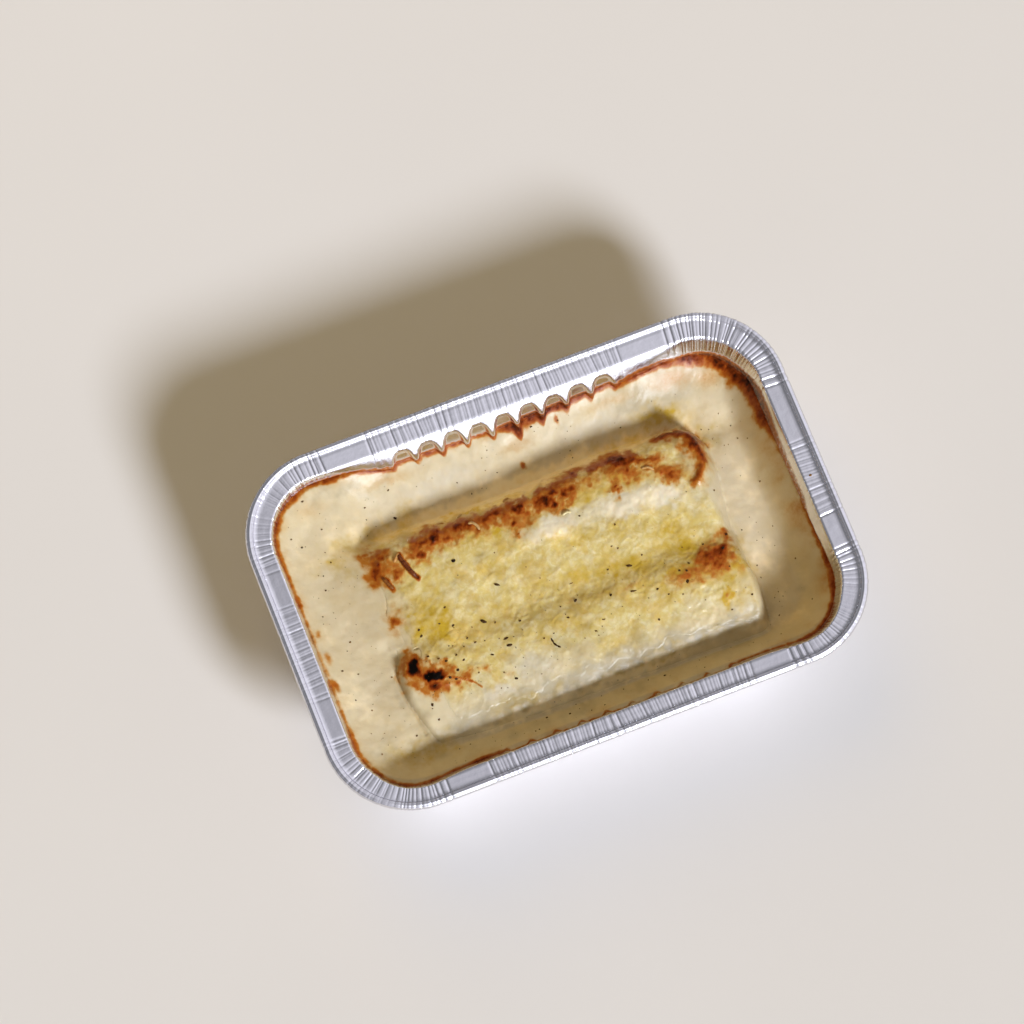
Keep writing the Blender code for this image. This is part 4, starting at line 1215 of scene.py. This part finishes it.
def food_material(name, cream, mottle, rough, bump_mm, shine):
    """Cream or cheese with oil, milky places, browning, and painted shade and light, all from the masks on
    the mesh.
    """
    material, n = new_material(name)
    fine, coarse, cloud = n.noise(0.9, 4.0), n.noise(2.6, 3.0), n.noise(11.0, 3.0)
    streaks = n.noise(3.2, 4.0, 0.6, 0.6)
    cheese = n.blend(n.span(streaks, 0.38, 0.66), CHEESE_CREAM, CHEESE_PALE)
    cheese = n.blend(n.span(n.noise(8.0, 4.0, 0.6, 0.5), 0.44, 0.66, 0.0, 0.62), cheese, CHEESE_YELLOW)
    plain = n.blend(n.span(cloud, 0.30, 0.72), darker(cream, 0.95, 0.92, 0.85), cream)
    cover = n.math("MULTIPLY", n.mask("cheese"), n.span(n.mask("rich"), 0.0, 1.0, 0.12, 0.95))
    colour = n.blend(cover, plain, cheese)
    colour = n.blend(n.span(fine, 0.54, 0.74, 0.0, mottle), colour, darker(cream, 0.84))

    # Oil, some of it painted warm shade, milky places, some of them painted light, then painted shade and
    # painted light
    oil = n.math("MULTIPLY", n.mask("oil"), n.span(coarse, 0.25, 0.75, 0.7, 1.15))
    colour = n.blend(n.span(oil, 0.0, 1.0), colour, OIL_AND_PAINTED_SHADE_YELLOW)
    colour = n.blend(n.span(n.mask("milk"), 0.0, 1.0, 0.0, 0.85), colour, MILK_AND_PAINTED_LIGHT_WHITE)
    dull = n.mask("dull")
    colour = n.blend(n.span(dull, 0.0, 1.0), colour, PAINTED_SHADE_SHARE, "MULTIPLY")
    colour = n.blend(n.span(dull, -1.0, 0.0, 1.0, 0.0), colour, PAINTED_LIGHT_SHARE, "DODGE")

    # Browning, uneven at two sizes
    jitter = n.math("ADD", n.around_zero(fine, 0.50), n.around_zero(coarse, 0.40))
    brown = n.math("MULTIPLY", n.mask("brown"), n.math("ADD", jitter, 1.0))
    toast = n.ramp(n.math("DIVIDE", brown, BROWN_FULL), BROWN_STEPS)
    n.set("Base Color", n.blend(n.span(brown, 0.03, 0.34), colour, toast))

    # Oil, and the warm shade painted with it, is smoother, and browned places hardly shine
    smooth = n.span(oil, 0.0, 0.9, rough, rough * 0.72)
    n.set("Roughness", n.math("ADD", smooth, n.around_zero(coarse, 0.16)))
    n.set("Subsurface Weight", 0.14)
    n.set("Subsurface Radius", (1.0, 0.62, 0.30))
    n.set("Subsurface Scale", 1.3 * MM)
    n.set("Specular IOR Level", 0.22)
    n.set("Specular Tint", n.blend(n.span(brown, 0.2, 0.9), (1.0, 1.0, 1.0), (0.06, 0.06, 0.06)))
    normal = n.bump(n.noise(0.45, 3.0), bump_mm)
    n.set("Normal", n.bump(coarse, bump_mm * 3.0, base=normal))
    n.set("Coat Weight", n.span(brown, 0.1, 0.6, 0.65 * shine, 0.03))
    n.set("Coat Roughness", 0.13)
    n.set("Coat Normal", n.bump(n.noise(1.0, 3.0, 0.7), bump_mm * 5.0, base=normal))
    return material


def foil_material():
    """Slightly uneven foil, with the browned film of sauce over it."""
    material, n = new_material("crimped_foil")
    grain, cloud, dents = n.noise(0.35, 2.0), n.noise(9.0, 3.0), n.noise(3.0, 2.0)
    film = n.math("MULTIPLY", n.mask("film"), n.span(n.noise(1.3, 3.0), 0.25, 0.6, 0.6, 1.25))
    filmed = n.span(film, 0.12, 0.42)
    metal = n.blend(n.span(cloud, 0.3, 0.7), FOIL_METAL, darker(FOIL_METAL, 0.93))
    n.set("Base Color", n.blend(filmed, metal, n.ramp(film, FILM_STEPS)))
    n.set("Metallic", n.span(film, 0.12, 0.42, 1.0, 0.0))
    n.set("Roughness", n.span(cloud, 0.3, 0.75, 0.17, 0.27))
    n.set("Normal", n.bump(dents, 0.09, base=n.bump(grain, 0.005)))
    return material


def tone_material(name, steps, roughness, bump_mm):
    """For small pieces, whose colour goes by the tone on their mesh."""
    material, n = new_material(name)
    fine = n.noise(0.5, 3.0)
    n.set("Base Color", n.ramp(n.math("ADD", n.mask("tone"), n.around_zero(fine, 0.5)), steps))
    n.set("Roughness", n.span(fine, 0.3, 0.7, roughness, roughness + 0.15))
    n.set("Specular IOR Level", 0.15)
    n.set("Normal", n.bump(fine, bump_mm))
    return material


def floor_material():
    material, n = new_material("pale_floor")
    cloud = n.noise(240.0, 2.0)
    n.set("Base Color", n.blend(n.span(cloud, 0.3, 0.7), srgb(227, 220, 214), srgb(225, 218, 212)))
    n.set("Roughness", 0.9)
    n.set("Specular IOR Level", 0.1)
    return material


# The stage

FLOOR_HALF = 6000.0
KEY_FROM = (0.319, -0.948)
KEY_ELEVATION = 29.7
KEY_SIZE = 14.0
KEY_COLOUR = (0.80, 0.87, 1.0)
KEY_STRENGTH = 4.75
FILL_POWER = 32.0
FILL_SIZE = 3.0
FILL_FROM = (-0.6, 2.6, 2.5)
FILL_COLOUR = (1.0, 0.70, 0.20)
CAMERA_AZIMUTH = -26.32
CAMERA_ELEVATION = 74.76
CAMERA_ROLL = 4.94
CAMERA_TARGET = (-8.95, 21.10, 41.0)
CAMERA_DISTANCE = 1609.4
CAMERA_LENS = 158.2
ROOM_LIGHT = (0.225, 0.215, 0.182)

# What the foil mirrors: a room that brightens towards one side, and the key light's panel
MIRROR_TOWARDS = (0.80, -0.60, 0.0)
MIRROR_DARK = (0.22, 0.22, 0.23)
MIRROR_BRIGHT = (1.00, 0.99, 1.07)
PANEL_TOWARDS = (*KEY_FROM, 0.42)
PANEL_BRIGHT = (1.7, 1.7, 1.75)


def add_floor():
    corners = np.array([(-1, -1, 0), (1, -1, 0), (1, 1, 0), (-1, 1, 0)]) * FLOOR_HALF
    new_mesh("floor", corners, [(0, 1, 2, 3)], floor_material(), {})


def add_light(name, kind, strength, colour, towards):
    """A light that shines from this direction."""
    light = bpy.data.lights.new(name, kind)
    light.energy = strength
    light.color = colour
    lamp = put(name, light)
    lamp.rotation_euler = Vector(towards).to_track_quat("Z", "Y").to_euler()
    return lamp


def add_key_light():
    elevation = math.radians(KEY_ELEVATION)
    flat = math.cos(elevation)
    towards = (KEY_FROM[0] * flat, KEY_FROM[1] * flat, math.sin(elevation))
    lamp = add_light("key", "SUN", KEY_STRENGTH, KEY_COLOUR, towards)
    lamp.data.angle = math.radians(KEY_SIZE)


def add_fill_light():
    """A large warm panel above the far side that fills the shadows and isn't mirrored in the foil."""
    lamp = add_light("fill", "AREA", FILL_POWER, FILL_COLOUR, FILL_FROM)
    lamp.data.shape = "DISK"
    lamp.data.size = FILL_SIZE
    lamp.location = FILL_FROM
    lamp.visible_glossy = False


def add_world():
    """A dim warm room, with the panels that glossy surfaces mirror."""
    world = bpy.data.worlds.new("studio")
    world.use_nodes = True
    bpy.context.scene.world = world
    n = Nodes(world.node_tree, "Background", "Generated")

    def facing(direction, low, high):
        """How nearly a ray goes in this direction."""
        dot = n.add("ShaderNodeVectorMath", operation="DOT_PRODUCT")
        n.feed(dot.inputs[0], n.place)
        n.feed(dot.inputs[1], Vector(direction).normalized())
        return n.span(dot.outputs["Value"], low, high)

    mirrored = n.blend(facing(MIRROR_TOWARDS, -0.8, 0.8), MIRROR_DARK, MIRROR_BRIGHT)
    mirrored = n.blend(facing(PANEL_TOWARDS, 0.78, 0.97), mirrored, PANEL_BRIGHT)
    glossy = n.add("ShaderNodeLightPath").outputs["Is Glossy Ray"]
    n.set("Color", n.blend(glossy, ROOM_LIGHT, mirrored))


def add_camera():
    azimuth, elevation = math.radians(CAMERA_AZIMUTH), math.radians(CAMERA_ELEVATION)
    roll = math.radians(CAMERA_ROLL)
    back = Vector((math.sin(azimuth) * math.cos(elevation), -math.cos(azimuth) * math.cos(elevation),
                   math.sin(elevation)))
    level = Vector((0, 0, 1)).cross(back).normalized()
    upright = back.cross(level)
    right = level * math.cos(roll) + upright * math.sin(roll)
    up = upright * math.cos(roll) - level * math.sin(roll)
    data = bpy.data.cameras.new("camera")
    data.lens = CAMERA_LENS
    data.sensor_width = 36.0
    data.clip_end = 20.0
    camera = put("camera", data)
    place = (Vector(CAMERA_TARGET) + back * CAMERA_DISTANCE) * MM
    camera.matrix_world = Matrix.Translation(place) @ Matrix((right, up, back)).transposed().to_4x4()
    bpy.context.scene.camera = camera


def main():
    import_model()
    bpy.context.scene.view_settings.view_transform = "Standard"
    add_camera()
    add_floor()
    add_key_light()
    add_fill_light()
    add_world()

    tints = Tints()
    food = Food()
    sauce_look = food_material("cream_sauce", CREAM, mottle=0.30, rough=0.42, bump_mm=0.03, shine=0.25)
    roll_look = food_material("roll_surface", ROLL_CREAM, mottle=0.26, rough=0.40, bump_mm=0.03, shine=0.35)
    cheese_look = food_material("melted_cheese", ROLL_CREAM, mottle=0.32, rough=0.34, bump_mm=0.045,
                                shine=0.6)
    fleck_look = tone_material("pepper_and_herb", FLECK_STEPS, roughness=0.5, bump_mm=0.03)
    shred_look = tone_material("cheese_shred", SHRED_STEPS, roughness=0.3, bump_mm=0.03)

    foil = build_foil(foil_material())
    sauce = build_sauce(food, tints, sauce_look)
    near = build_roll("near_roll", food, tints, -60.0, GROOVE_Y + ROLLS_OVERLAP, roll_look)
    far = build_roll("far_roll", food, tints, GROOVE_Y - ROLLS_OVERLAP, 60.0, roll_look)
    cheese = build_cheese(food, tints, cheese_look)
    ground = Ground([foil, sauce, near, far, cheese])
    flecks = build_flecks(ground, fleck_look)
    shreds = build_shreds(ground, shred_look)

    for piece, slot, nodes in (
        (foil, "foil", ["tray"]),
        (sauce, "cream_sauce", ["sauce"]),
        (near, "roll_surface", ["roll_near"]),
        (far, "roll_surface", ["roll_far"]),
        (cheese, "melted_cheese", ["cheese"]),
        (flecks, "melted_cheese", []),
        (shreds, "melted_cheese", []),
    ):
        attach(piece, "root")
        if nodes:
            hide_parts(*nodes)


main()
